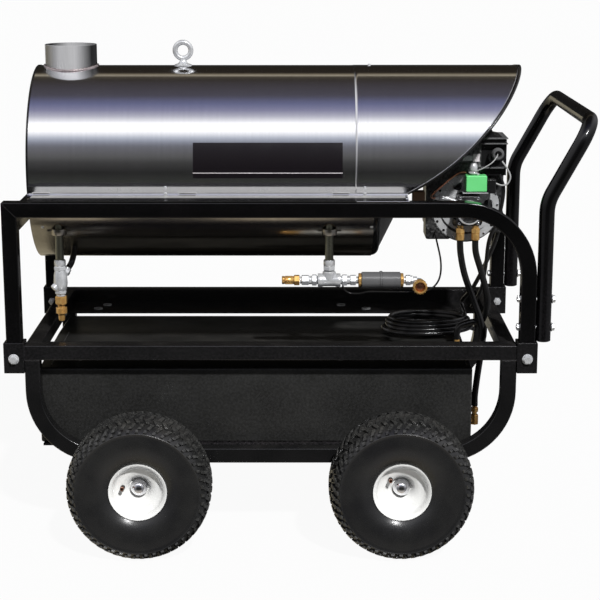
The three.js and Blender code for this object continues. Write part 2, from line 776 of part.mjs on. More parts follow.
add("lower_shell", makeLowerShell(), "darkStainless");

const END_RADIUS = DRUM_RADIUS - JACKET_WALL - 1;
const FLUE_PLATE_PROFILE = [
  [0, 0],
  [0, 2],
  [END_RADIUS - 2, 2],
  [END_RADIUS - 2, 14],
  [END_RADIUS, 14],
  [END_RADIUS, 0],
];
const fluePlate = turned(FLUE_PLATE_PROFILE, "x", [DRUM_FRONT + 3, 0, DRUM_Z], 28);
add("flue_end_plate", fluePlate, "darkStainless");

// The burner end is a shallow cone with a flat middle that carries the burner.
const BURNER_PLATE_X = 318;
const BURNER_PLATE_PROFILE = [
  [BLAST_RADIUS + 2, BURNER_PLATE_X],
  [157, BURNER_PLATE_X],
  [END_RADIUS, DRUM_REAR],
  [END_RADIUS, DRUM_REAR - 14],
  [END_RADIUS - 3, DRUM_REAR - 14],
  [END_RADIUS - 3, DRUM_REAR - 1.5],
  [155, BURNER_PLATE_X - 3],
  [BLAST_RADIUS + 2, BURNER_PLATE_X - 3],
];
add("burner_end_plate", turned(BURNER_PLATE_PROFILE, "x", [0, 0, DRUM_Z], 28), "powderCoat");

const STACK_PROFILE = [
  [STACK.radius - STACK.wall, STACK.bottom],
  [STACK.radius, STACK.bottom],
  [STACK.radius, STACK.top],
  [STACK.radius - STACK.wall, STACK.top],
];
add("exhaust_stack", turned(STACK_PROFILE, "z", [STACK.x, 0, 0], 24), "stainless");

function makeLiftingEye() {
  const { x, z, ring: major, stock, shank, foot, below } = EYE;
  const eyeProfile = [];
  const stockSides = 6;
  for (let i = 0; i < stockSides; i++) {
    const angle = (2 * PI * i) / stockSides;
    eyeProfile.push([major + stock * Math.cos(angle), stock * Math.sin(angle)]);
  }
  const base = DRUM_Z + DRUM_RADIUS + GAP;
  return join([
    turned(eyeProfile, "y", [x, 0, z], 16),
    bar([x, 0, base + 2], [x, 0, z - major], shank + 3, 12, shank),
    bar([x, 0, base], [x, 0, base + 4], foot, 16, 0.75 * foot),
    bar([x, 0, base - below], [x, 0, base + 2], shank),
  ]);
}

add("lifting_eye", makeLiftingEye(), "zinc");

// ---------------------------------------------------------------- heating coil
// Up the outlet stub, round the turns, over a return bend and down the inlet stub.
function coilStations() {
  const stations = [];
  const up = new THREE.Vector3(0, 0, 1);
  const helixEnd = INLET_X - 2 * COIL_RETURN_BEND;
  stations.push({ point: new THREE.Vector3(OUTLET_X, STUB_Y, STUB_END), tangent: up });
  const count = COIL_TURNS * COIL_STATIONS;
  for (let i = 0; i <= count; i++) {
    const angle = (2 * PI * i) / COIL_STATIONS;
    const along = OUTLET_X + ((helixEnd - OUTLET_X) * i) / count;
    const point = new THREE.Vector3(
      along,
      -COIL_RADIUS * Math.cos(angle),
      DRUM_Z + COIL_RADIUS * Math.sin(angle),
    );
    stations.push({ point, tangent: new THREE.Vector3(0, Math.sin(angle), Math.cos(angle)) });
  }
  const bendSteps = 4;
  for (let k = 1; k <= bendSteps; k++) {
    const angle = (PI * k) / bendSteps;
    const point = new THREE.Vector3(
      helixEnd + COIL_RETURN_BEND * (1 - Math.cos(angle)),
      STUB_Y,
      DRUM_Z + COIL_RETURN_BEND * Math.sin(angle),
    );
    stations.push({ point, tangent: new THREE.Vector3(Math.sin(angle), 0, Math.cos(angle)) });
  }
  const down = new THREE.Vector3(0, 0, -1);
  stations.push({ point: new THREE.Vector3(INLET_X, STUB_Y, STUB_END), tangent: down });
  return stations;
}

add("heating_coil", roundBar(coilStations(), COIL_PIPE, COIL_SIDES), "pipe");

const CHAMBER_PROFILE = [
  [0, -250],
  [CHAMBER_RADIUS, -250],
  [CHAMBER_RADIUS, 300],
  [CHAMBER_RADIUS - 12, 300],
  [CHAMBER_RADIUS - 12, -238],
  [0, -238],
];
add("combustion_chamber", turned(CHAMBER_PROFILE, "x", [0, 0, DRUM_Z], 14), "ceramic");

// ---------------------------------------------------------------- water outlet
const outletAt = (z) => [OUTLET_X, STUB_Y, z];

function makeOutletFitting() {
  const start = outletAt(OUTLET.branchFrom);
  const mouth = start.map((place, axis) => place + OUTLET_BRANCH[axis]);
  return join([
    bar(outletAt(STUB_END - GAP), outletAt(OUTLET.socketEnd), FITTING.socketHex, 6),
    bar(...OUTLET.body.map(outletAt), FITTING.body),
    bar(...OUTLET.tail.map(outletAt), FITTING.tail),
    bar(start, mouth, FITTING.branch, 10),
  ]);
}

add("outlet_fitting", makeOutletFitting(), "zinc");

const COUPLER_NECK = 9.4;
const COUPLER_PROFILE = [
  [6, 541],
  [7.8, 541],
  [7.8, 556],
  [COUPLER_NECK, 557],
  [COUPLER_NECK, 584],
  [15.5, 585],
  [15.5, 605.5],
  [6, 605.5],
];
const SLEEVE_PROFILE = [
  [COUPLER_NECK + 0.6, 560],
  [14, 560],
  [14, 576],
  [COUPLER_NECK + 0.6, 576],
];
add("outlet_coupler", turned(COUPLER_PROFILE, "z", [OUTLET_X, STUB_Y, 0], 12), "brass");
add("coupler_sleeve", turned(SLEEVE_PROFILE, "z", [OUTLET_X, STUB_Y, 0], 18), "brass");

// ---------------------------------------------------------------- water inlet
const inletAt = (x) => [x, STUB_Y, TEE_Z];

function makeTee() {
  const above = (z) => [INLET_X, STUB_Y, z];
  const { socketEnd, halfLength, valveEnd, hexLength } = TEE;
  const switchEnd = FLOW_SWITCH.from - 0.5;
  const run = [INLET_X - halfLength, INLET_X + halfLength];
  const valveHex = [valveEnd + 8, valveEnd + 8 + hexLength];
  const switchHex = [switchEnd - 10 - hexLength, switchEnd - 10];
  return join([
    bar(above(STUB_END - GAP), above(socketEnd), FITTING.socketHex, 6),
    bar(above(socketEnd + WELD), above(TEE_Z), FITTING.body),
    bar(...run.map(inletAt), FITTING.socketHex),
    bar(inletAt(valveEnd), inletAt(switchEnd), FITTING.pipe),
    bar(...valveHex.map(inletAt), FITTING.pipeHex, 6),
    bar(...switchHex.map(inletAt), FITTING.pipeHex, 6),
  ]);
}

add("inlet_tee", makeTee(), "zinc");

function makeReliefValve() {
  return join([
    bar(...RELIEF_VALVE.body.map(inletAt), RELIEF_VALVE.bodyRadius, 14),
    bar(...RELIEF_VALVE.hex.map(inletAt), RELIEF_VALVE.hexRadius, 6),
  ]);
}

add("relief_valve", makeReliefValve(), "brass");

const FLOW_PROFILE = [
  [FLOW_SWITCH.bore, FLOW_SWITCH.from],
  [FLOW_SWITCH.collar, FLOW_SWITCH.from],
  [FLOW_SWITCH.collar, FLOW_SWITCH.from + 7],
  [FLOW_SWITCH.radius, FLOW_SWITCH.from + 8],
  [FLOW_SWITCH.radius, FLOW_SWITCH.to - 8],
  [FLOW_SWITCH.collar, FLOW_SWITCH.to - 7],
  [FLOW_SWITCH.collar, FLOW_SWITCH.to],
  [FLOW_SWITCH.bore, FLOW_SWITCH.to],
];
add("flow_switch", turned(FLOW_PROFILE, "x", [0, STUB_Y, TEE_Z], 20), "plastic");
const pistonSpan = [FLOW_PISTON.from, FLOW_PISTON.from + FLOW_PISTON.length];
add("flow_piston", bar(...pistonSpan.map(inletAt), FLOW_PISTON.radius), "brass");

function makeInletElbow() {
  const start = FLOW_SWITCH.to + 0.5;
  const mouth = (y) => [SWIVEL.x, STUB_Y + y, SWIVEL.z];
  return join([
    bar(inletAt(start), inletAt(SWIVEL.x - 8), FITTING.pipe),
    bar(...ELBOW.hex.map((x) => inletAt(start + x)), FITTING.pipeHex, 6),
    bar(mouth(ELBOW.back), mouth(ELBOW.face), FITTING.body),
    bar(mouth(ELBOW.face + WELD), mouth(ELBOW.mouth), FITTING.branch),
  ]);
}

add("inlet_elbow", makeInletElbow(), "zinc");

const SWIVEL_PROFILE = [
  [10.6, 16],
  [SWIVEL.radius, 16],
  [SWIVEL.radius, 40],
  [13, 40],
  [13, 24],
  [10.6, 24],
];
const swivel = turned(SWIVEL_PROFILE, "y", [0, 0, 0], 18).rotateZ(PI);
add("inlet_swivel", swivel.translate(SWIVEL.x, STUB_Y, SWIVEL.z), "brass");

// ---------------------------------------------------------------- burner
const fanAt = (y) => [FAN_X, y, FAN_Z];

// Side view of the housing: the fan scroll below, the air box above it on the drum axis.
function housingShape() {
  const low = FAN_Z - SCROLL_RADIUS;
  const shape = new THREE.Shape();
  shape.moveTo(HOUSING_LEFT, HOUSING_TOP);
  shape.lineTo(HOUSING_LEFT, low + 20);
  shape.lineTo(HOUSING_LEFT + 14, low + 6);
  shape.absarc(FAN_X, FAN_Z, SCROLL_RADIUS, -QUARTER, PI / 6, false);
  shape.lineTo(HOUSING_RIGHT, BOX.bottom - 4);
  shape.lineTo(HOUSING_RIGHT, HOUSING_TOP);
  return shape;
}

// Holes on the circle of air ports, through the near wall or through the shutter.
function airPorts(from, to) {
  return Array.from({ length: AIR_PORTS }, (_, i) => {
    const angle = (2 * PI * i) / AIR_PORTS;
    const x = FAN_X + AIR_PORT_CIRCLE * Math.cos(angle);
    const z = FAN_Z + AIR_PORT_CIRCLE * Math.sin(angle);
    return bar([x, from, z], [x, to, z], AIR_PORT_RADIUS, 8);
  });
}

function makeHousing() {
  const inside = [HOUSING_NEAR + HOUSING_WALL, HOUSING_FAR - HOUSING_WALL];
  const ductFloor = FAN_Z + BLAST_RADIUS / 2;
  const duct = block(
    [HOUSING_LEFT + HOUSING_WALL, HOUSING_RIGHT - HOUSING_WALL],
    inside,
    [ductFloor, HOUSING_TOP - HOUSING_WALL],
  );
  return cut(alongY(housingShape(), [HOUSING_NEAR, HOUSING_FAR], 6), [
    bar(fanAt(inside[0]), fanAt(inside[1]), FAN_RADIUS + 8, 20),
    duct,
    bar(fanAt(HOUSING_NEAR - WELD), fanAt(HOUSING_FAR + WELD), FAN_INLET),
    bar([HOUSING_LEFT - WELD, 0, DRUM_Z], [FAN_X, 0, DRUM_Z], BLAST_RADIUS - 4, 18),
    ...airPorts(HOUSING_NEAR - WELD, HOUSING_NEAR + 2 * HOUSING_WALL),
  ]);
}

add("blower_housing", makeHousing(), "castBlack");

function makeShutter() {
  const [front, back] = [HOUSING_NEAR - 3, HOUSING_NEAR - 0.5];
  const disc = bar(fanAt(front), fanAt(back), SHUTTER_RADIUS, 30);
  const tab = [FAN_X - SHUTTER_RADIUS, 0, FAN_Z];
  const handle = block([tab[0] - 8, tab[0] + 6], [front - 8, back], [FAN_Z - 6, FAN_Z + 6]);
  return cut(join([disc, handle]), [
    bar(fanAt(front - 10), fanAt(back + 1), PUMP_RADIUS + 2, 20),
    ...airPorts(front - WELD, back + WELD),
  ]);
}

add("air_shutter", makeShutter(), "chrome");

function makeBlowerWheel() {
  const near = HOUSING_NEAR + 14;
  const far = FAN_FAR;
  const profile = [
    [0, far],
    [0, far + 4],
    [FAN_RADIUS, far + 4],
    [FAN_RADIUS, near],
    [FAN_RADIUS - FAN_RIM, near],
    [FAN_RADIUS - FAN_RIM, far],
  ];
  const slotWidth = 26;
  const slotPairs = 4;
  const slots = Array.from({ length: slotPairs }, (_, i) => {
    const slot = new THREE.BoxGeometry(3 * FAN_RADIUS, far - near - 12, slotWidth);
    return slot.rotateY((PI * i) / slotPairs).translate(FAN_X, (near + far) / 2, FAN_Z);
  });
  const cage = cut(turned(profile, "y", fanAt(0), 16), slots);
  const hub = bar(fanAt(near + 20), fanAt(far + WELD), 16, 8);
  const shaftEnd = 20;
  const shaft = bar(fanAt(HOUSING_NEAR - shaftEnd), fanAt(HOUSING_FAR + shaftEnd), SHAFT, 8);
  return join([cage, hub, shaft]);
}

add("blower_wheel", makeBlowerWheel(), "zinc");

// Motor and pump are turned about the fan shaft, each with a blind bore that takes it.
const SHAFT_BORE = SHAFT + 2 * GAP;
const BORE_DEPTH = 24;
const MOTOR = { radius: 68, shoulder: 150, end: 162, chamfer: 10 };
const MOTOR_PROFILE = [
  [SHAFT_BORE, HOUSING_FAR + GAP],
  [MOTOR.radius, HOUSING_FAR + GAP],
  [MOTOR.radius, MOTOR.shoulder],
  [MOTOR.radius - MOTOR.chamfer, MOTOR.end],
  [0, MOTOR.end],
  [0, HOUSING_FAR + BORE_DEPTH],
  [SHAFT_BORE, HOUSING_FAR + BORE_DEPTH],
];
add("burner_motor", turned(MOTOR_PROFILE, "y", fanAt(0), 24), "castBlack");

function makePump() {
  const back = HOUSING_NEAR - GAP;
  const profile = [
    [SHAFT_BORE, back],
    [SHAFT_BORE, HOUSING_NEAR - BORE_DEPTH],
    [0, HOUSING_NEAR - BORE_DEPTH],
    [0, PUMP_NEAR],
    [22, PUMP_NEAR],
    [PUMP_RADIUS - 4, PUMP_NEAR + 8],
    [PUMP_RADIUS, PUMP_NEAR + 12],
    [PUMP_RADIUS, back],
  ];
  const port = (x, radius, from, to, sides) =>
    bar([x, PUMP_PORT_Y, from], [x, PUMP_PORT_Y, to], radius, sides);
  const ports = PUMP_PORTS_X.flatMap((x) => [
    port(x, PUMP_PORT.radius, PUMP_PORT_Z, FAN_Z - 18, 10),
    port(x, PUMP_PORT.hex, PUMP_PORT_Z + 12, FAN_Z - 26, 6),
  ]);
  return join([turned(profile, "y", fanAt(0), 20), ...ports]);
}

add("fuel_pump", makePump(), "castBlack");

function makeSolenoid() {
  const { x, y, neck, left, right, depth, under, over } = SOLENOID;
  const stem = (z) => [SOLENOID_STEM.x, y, z];
  const low = FAN_Z + PUMP_RADIUS + GAP;
  return join([
    block([x - neck, x + neck], [y - neck, y + neck], [low, under + WELD]),
    block([left, right], [y - depth, y + depth], [under, over]),
    bar(stem(over - WELD), stem(SOLENOID_STEM.top), SOLENOID_STEM.radius),
  ]);
}

add("solenoid_valve", makeSolenoid(), "green");

const BLAST_PROFILE = [
  [BLAST_BORE, BLAST_END],
  [BLAST_RADIUS, BLAST_END],
  [BLAST_RADIUS, BURNER_PLATE_X + GAP],
  [BLAST_FLANGE, BURNER_PLATE_X + GAP],
  [BLAST_FLANGE, BURNER_PLATE_X + 7],
  [BLAST_RADIUS, BURNER_PLATE_X + 7],
  [BLAST_RADIUS, HOUSING_LEFT - 8],
  [BLAST_COLLAR, HOUSING_LEFT - 8],
  [BLAST_COLLAR, HOUSING_LEFT - GAP],
  [BLAST_BORE, HOUSING_LEFT - GAP],
];
add("blast_tube", turned(BLAST_PROFILE, "x", [0, 0, DRUM_Z], 20), "castBlack");

function makeNozzle() {
  const at = (x) => [x, 0, DRUM_Z];
  return join([
    bar(at(NOZZLE.tip), at(NOZZLE.holder), 4, 10, 9),
    bar(at(NOZZLE.holder - WELD), at(NOZZLE.hex), NOZZLE.radius, 10),
    bar(at(NOZZLE.hex - WELD), at(NOZZLE.end), 11, 6),
    block([NOZZLE.hex - 8, NOZZLE.hex - 2], [-30, 30], [DRUM_Z - 4, DRUM_Z + 24]),
  ]);
}

add("nozzle_assembly", makeNozzle(), "brass");

// The igniter closes the top of the housing and swings up about its drum-side edge.
function makeIgniter() {
  const { left, right, near, far, top, base, hinge } = IGNITER;
  const low = HOUSING_TOP + GAP;
  const hingeAt = (y) => [left - 8, y, low + base];
  return join([
    block([left - 8, right], [near - 6, far + 6], [low, low + base]),
    block([left + 6, right - 8], [near, far], [low + base - WELD, top]),
    bar(hingeAt(near - 4), hingeAt(far + 4), hinge, 10),
  ]);
}

add("igniter", makeIgniter(), "castBlack");

function makeControlBox() {
  const { left, right, near, far, bottom, top } = BOX;
  const shape = new THREE.Shape();
  shape.moveTo(left, bottom);
  shape.lineTo(right, bottom);
  shape.lineTo(right, top - 26);
  shape.lineTo(right - 10, top - 20);
  shape.lineTo(left + 34, top - 16);
  shape.lineTo(left + 26, top);
  shape.lineTo(left, top);
  const body = alongY(shape, [near, far]);
  const boot = bar([BOOT.x, near - BOOT.length, BOOT.z], [BOOT.x, near + WELD, BOOT.z], 13, 14, 15);
  const { y, z, radius } = BUTTON;
  const well = bar([right - 9, y, z], [right + 1, y, z], radius + 0.5, 14);
  return cut(join([body, boot]), [well]);
}

add("control_box", makeControlBox(), "plastic");

const buttonAt = (x) => [x, BUTTON.y, BUTTON.z];
add("reset_button", bar(buttonAt(BOX.right - 5), buttonAt(BOX.right + 5), BUTTON.radius, 14), "red");

// ---------------------------------------------------------------- flexible lines
const hoseStart = (x) => [x, PUMP_PORT_Y, PUMP_PORT_Z - 0.5];
const supplyEnd = [TANK_REAR + TANK_ELBOW.reach, TANK_PORT.y, TANK_PORT.z + TANK_ELBOW.top + 0.5];
const supplyLine = [
  hoseStart(PUMP_PORTS_X[0]),
  [493, PUMP_PORT_Y, 700],
  [505, -102, 640],
  [530, -112, 570],
  [549, -128, 510],
  [549, -140, 450],
  [539, -154, 380],
  [supplyEnd[0], supplyEnd[1], supplyEnd[2] + 30],
  supplyEnd,
];
add("fuel_supply_hose", softLine(supplyLine, HOSE_RADIUS, 18, 7), "rubber");

const returnEnd = RETURN_SPUD.top + 1.5;
const returnLine = [
  hoseStart(PUMP_PORTS_X[1]),
  [533, PUMP_PORT_Y, 700],
  [551, -96, 640],
  [567, -92, 570],
  [556, -88, 516],
  [526, -86, 508],
  [497, -85, 497],
  [RETURN_SPUD.x, RETURN_SPUD.y, returnEnd + 14],
  [RETURN_SPUD.x, RETURN_SPUD.y, returnEnd],
];
add("fuel_return_hose", softLine(returnLine, HOSE_RADIUS, 18, 7), "rubber");

// The cord lies in loops round the filler and climbs to the control box.
function cordPoints() {
  const { loops, perLoop, halfLength, halfWidth, rise, above } = CORD_COIL;
  const points = [];
  for (let i = 0; i <= loops * perLoop; i++) {
    const angle = (2 * PI * i) / perLoop;
    const x = FILLER.x - 5 + halfLength * Math.cos(angle);
    const y = FILLER.y + halfWidth * Math.sin(angle);
    points.push([x, y, TANK_TOP + above + (rise * i) / perLoop]);
  }
  const climb = [
    [520, 104, 520],
    [545, 60, 570],
    [575, 20, 650],
    [602, 0, 740],
    [603, -4, 850],
    [600, -6, BOX.bottom - 1],
  ];
  return [...points, ...climb];
}

add("power_cord", softLine(cordPoints(), CORD_RADIUS, 52, 5), "rubber");

cart.position.x = -OVERALL_MIDDLE_X;

export default cart;
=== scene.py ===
# Looks of the hot-water generator cart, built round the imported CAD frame.
# Metres, +Z up, floor at Z = 0; +X is the burner and push handle, -Y the side with the
# water fittings. Places come from the CAD nodes' boxes; the sizes named here are details.
import math

import bmesh
import bpy
from mathutils import Matrix, Vector


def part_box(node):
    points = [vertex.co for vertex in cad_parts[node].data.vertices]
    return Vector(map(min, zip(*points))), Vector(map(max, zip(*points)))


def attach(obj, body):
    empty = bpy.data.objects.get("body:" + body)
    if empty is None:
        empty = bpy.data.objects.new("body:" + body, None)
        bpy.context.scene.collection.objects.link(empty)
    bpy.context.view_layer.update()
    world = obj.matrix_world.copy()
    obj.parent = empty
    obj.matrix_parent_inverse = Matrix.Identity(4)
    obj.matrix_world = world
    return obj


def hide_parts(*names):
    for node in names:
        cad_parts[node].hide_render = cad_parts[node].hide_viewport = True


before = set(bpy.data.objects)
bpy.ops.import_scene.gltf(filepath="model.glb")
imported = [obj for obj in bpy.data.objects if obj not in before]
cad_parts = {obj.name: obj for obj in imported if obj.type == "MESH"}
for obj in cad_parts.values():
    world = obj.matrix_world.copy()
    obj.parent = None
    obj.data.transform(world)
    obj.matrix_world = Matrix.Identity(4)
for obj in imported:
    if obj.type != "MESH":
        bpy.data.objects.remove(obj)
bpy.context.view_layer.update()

PI = math.pi
AXES = {"x": Vector((1, 0, 0)), "y": Vector((0, 1, 0)), "z": Vector((0, 0, 1))}
ENDS = {"front": -1, "rear": 1}
SIDES = {"left": -1, "right": 1}


# Places are counted from the line midway between the axles; the frame's origin is elsewhere.
ORIGIN = Vector(((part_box("front_axle")[0].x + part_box("rear_axle")[1].x) / 2, 0, 0))


def low(node):
    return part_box(node)[0] - ORIGIN


def high(node):
    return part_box(node)[1] - ORIGIN


def middle(node):
    return (low(node) + high(node)) / 2


# ------------------------------------------------------------------ driving places
TUBE = 0.0381
FRAME_SIDE = high("upper_cage").y
RAIL_Y = FRAME_SIDE - TUBE / 2
CAGE_TOP = high("upper_cage").z
CAGE_END = high("upper_cage").x
CAGE_FOOT = low("upper_cage").z
CAGE_BEND = 0.188
LEG_X = CAGE_END - TUBE / 2
SLEEVE = 0.0508
SLEEVE_TOP = high("lower_frame").z
SLEEVE_BOTTOM = SLEEVE_TOP - 0.078
DECK_TOP = SLEEVE_TOP - 0.008
DECK_UNDER = DECK_TOP - TUBE
FRAME_END = LEG_X - SLEEVE / 2 + 0.0004
RAIL_UNDER = low("fuel_tank").z - TUBE - 0.0005
CRADLE_BEND = 0.187
CROSS_TUBE_X = 0.2
STRIP_WIDTH = 0.14
STRIP_THICK = 0.004
STRIP_HOLES = [(-0.498, 0.211), (-0.478, 0.257), (0.19, 0.257), (0.26, 0.211)]
DRUM_Z = middle("flue_end_plate").z
DRUM_RADIUS = high("burner_hood").z - DRUM_Z
DRUM_FRONT = low("upper_shell").x
DRUM_REAR = high("lower_shell").x
HOOD_FRONT = low("burner_hood").x
FLANGE_EDGE = high("upper_shell").y
FLANGE_Z = low("upper_shell").z
WALL = 0.0015
CORNER = 0.02
FLANGE_SETBACK = 0.015  # the flange's front corners are cut back
# Beyond FLANGE_BARE the flange carries a black strip that is a painted dark reflection.
FLANGE_BARE = 0.296  # the flange is bare steel as far as this, and black beyond it
MOUTH_CENTRE = (0.021, 1.499)
MOUTH_RADIUS = 0.702
STACK = middle("exhaust_stack")
STACK_RADIUS = (high("exhaust_stack").x - low("exhaust_stack").x) / 2
STUB_Y = middle("coupler_sleeve").y
OUTLET_X = middle("coupler_sleeve").x
COIL_RADIUS = 0.2
PIPE = 0.01065
TEE_Z = middle("flow_switch").z
FAN = middle("air_shutter")
AXLE_Z = middle("tyre_front_left").z


# ------------------------------------------------------------------ finishes
class Nodes:
    """A short way to write a shader graph."""

    def __init__(self, tree):
        self.tree = tree

    def add(self, kind, inputs=None, **settings):
        made = self.tree.nodes.new("ShaderNode" + kind)
        for key, value in settings.items():
            setattr(made, key, value)
        for key, value in (inputs or {}).items():
            if isinstance(value, bpy.types.NodeSocket):
                self.tree.links.new(value, made.inputs[key])
            else:
                made.inputs[key].default_value = value
        return made

    def noise(self, scale, stretch=(1, 1, 1), detail=4.0, rough=0.6, name="Object"):
        coords = self.add("TexCoord").outputs[name]
        mapped = self.add("Mapping", {"Vector": coords, "Scale": stretch}).outputs[0]
        return self.add(
            "TexNoise",
            {"Vector": mapped, "Scale": scale, "Detail": detail, "Roughness": rough},
        ).outputs["Fac"]

    def spread(self, value, start, end, to_start=0.0, to_end=1.0):
        inputs = {0: value, 1: start, 2: end, 3: to_start, 4: to_end}
        return self.add("MapRange", inputs, clamp=True).outputs[0]

    def mix(self, factor, first, second, blend="MIX"):
        made = self.add("Mix", data_type="RGBA", blend_type=blend)
        for socket, value in ((0, factor), (6, first), (7, second)):
            if isinstance(value, bpy.types.NodeSocket):
                self.tree.links.new(value, made.inputs[socket])
            else:
                made.inputs[socket].default_value = value
        return made.outputs[2]

    def math(self, operation, first, second=0.0):
        return self.add("Math", {0: first, 1: second}, operation=operation).outputs[0]


def rgb(red, green, blue):
    return (red, green, blue, 1.0)


def finish(name, colour, rough, metal=0.0, **more):
    """A surface with fine grain, slow mottling, worn edges and dust on its upper faces.

    more: accent (the mottling's second colour), grain (per metre), stretch (of the grain),
    relief (bump strength), mottle (0..1), scatter (of the roughness), wear (of the edges),
    dust (0..1), coat (clear coat), brushed (grain runs round the X axis), shade (painted
    shade: how much of the tone is left on faces that look to -X and to +X).
    """
    material = bpy.data.materials.new(name)
    material.use_nodes = True
    shader = material.node_tree.nodes["Principled BSDF"]
    nodes = Nodes(material.node_tree)
    stretch = more.get("stretch", (1, 1, 1))
    fine = nodes.noise(more.get("grain", 900.0), stretch)
    slow = nodes.noise(more.get("blotch", 9.0), detail=3.0)
    accent = more.get("accent", tuple(c * 0.7 for c in colour[:3]) + (1.0,))
    blotches = nodes.spread(slow, 0.35, 0.7, 0.0, more.get("mottle", 0.5))
    tone = nodes.mix(blotches, colour, accent)
    speck = nodes.spread(fine, 0.3, 0.7, 1.0 - more.get("contrast", 0.12), 1.0)
    tone = nodes.mix(1.0, tone, nodes.add("CombineColor", {0: speck, 1: speck, 2: speck}).outputs[0],
                     "MULTIPLY")
    geometry = nodes.add("NewGeometry")
    if more.get("wear"):
        edge = nodes.spread(geometry.outputs["Pointiness"], 0.53, 0.62)
        broken = nodes.spread(nodes.noise(160.0), 0.4, 0.65)
        worn = nodes.math("MULTIPLY", edge, nodes.math("MULTIPLY", broken, more["wear"]))
        tone = nodes.mix(worn, tone, more.get("worn", rgb(0.25, 0.25, 0.25)))
    if more.get("dust"):
        facing = nodes.add("SeparateXYZ", {0: geometry.outputs["Normal"]}).outputs[2]
        upward = nodes.spread(facing, 0.5, 1.0)
        patches = nodes.spread(nodes.noise(14.0, detail=6.0), 0.45, 0.75)
        amount = nodes.math("MULTIPLY", upward, nodes.math("MULTIPLY", patches, more["dust"]))
        tone = nodes.mix(amount, tone, rgb(0.3, 0.28, 0.25))
    # Painted shade: the tone is darkened on faces that look to -X and to +X.
    if more.get("shade"):
        sideways = nodes.add("SeparateXYZ", {0: geometry.outputs["Normal"]}).outputs[0]
        left = nodes.spread(sideways, -0.95, -0.35, more["shade"][0], 1.0)
        right = nodes.spread(sideways, 0.25, 0.85, 1.0, more["shade"][1])
        grey = nodes.math("MULTIPLY", left, right)
        tone = nodes.mix(1.0, tone, nodes.add("CombineColor", {0: grey, 1: grey, 2: grey}).outputs[0],
                         "MULTIPLY")
    nodes.tree.links.new(tone, shader.inputs["Base Color"])
    scatter = more.get("scatter", 0.08)
    patchy = nodes.math("MULTIPLY", nodes.math("ADD", fine, slow), 0.5)
    roughness = nodes.spread(patchy, 0.3, 0.7, max(rough - scatter, 0.02), rough + scatter)
    nodes.tree.links.new(roughness, shader.inputs["Roughness"])
    shader.inputs["Metallic"].default_value = metal
    shader.inputs["Specular IOR Level"].default_value = more.get("specular", 0.5)
    if more.get("coat"):
        shader.inputs["Coat Weight"].default_value = more["coat"]
        shader.inputs["Coat Roughness"].default_value = 0.06
    if more.get("relief"):
        bump = nodes.add("Bump", {"Strength": more["relief"], "Distance": 0.0005, "Height": fine})
        nodes.tree.links.new(bump.outputs[0], shader.inputs["Normal"])
    if more.get("brushed"):
        shader.inputs["Anisotropic"].default_value = more["brushed"]
        along = nodes.add("CombineXYZ", {0: 1.0, 1: 0.0, 2: 0.0}).outputs[0]
        nodes.tree.links.new(along, shader.inputs["Tangent"])
    return material


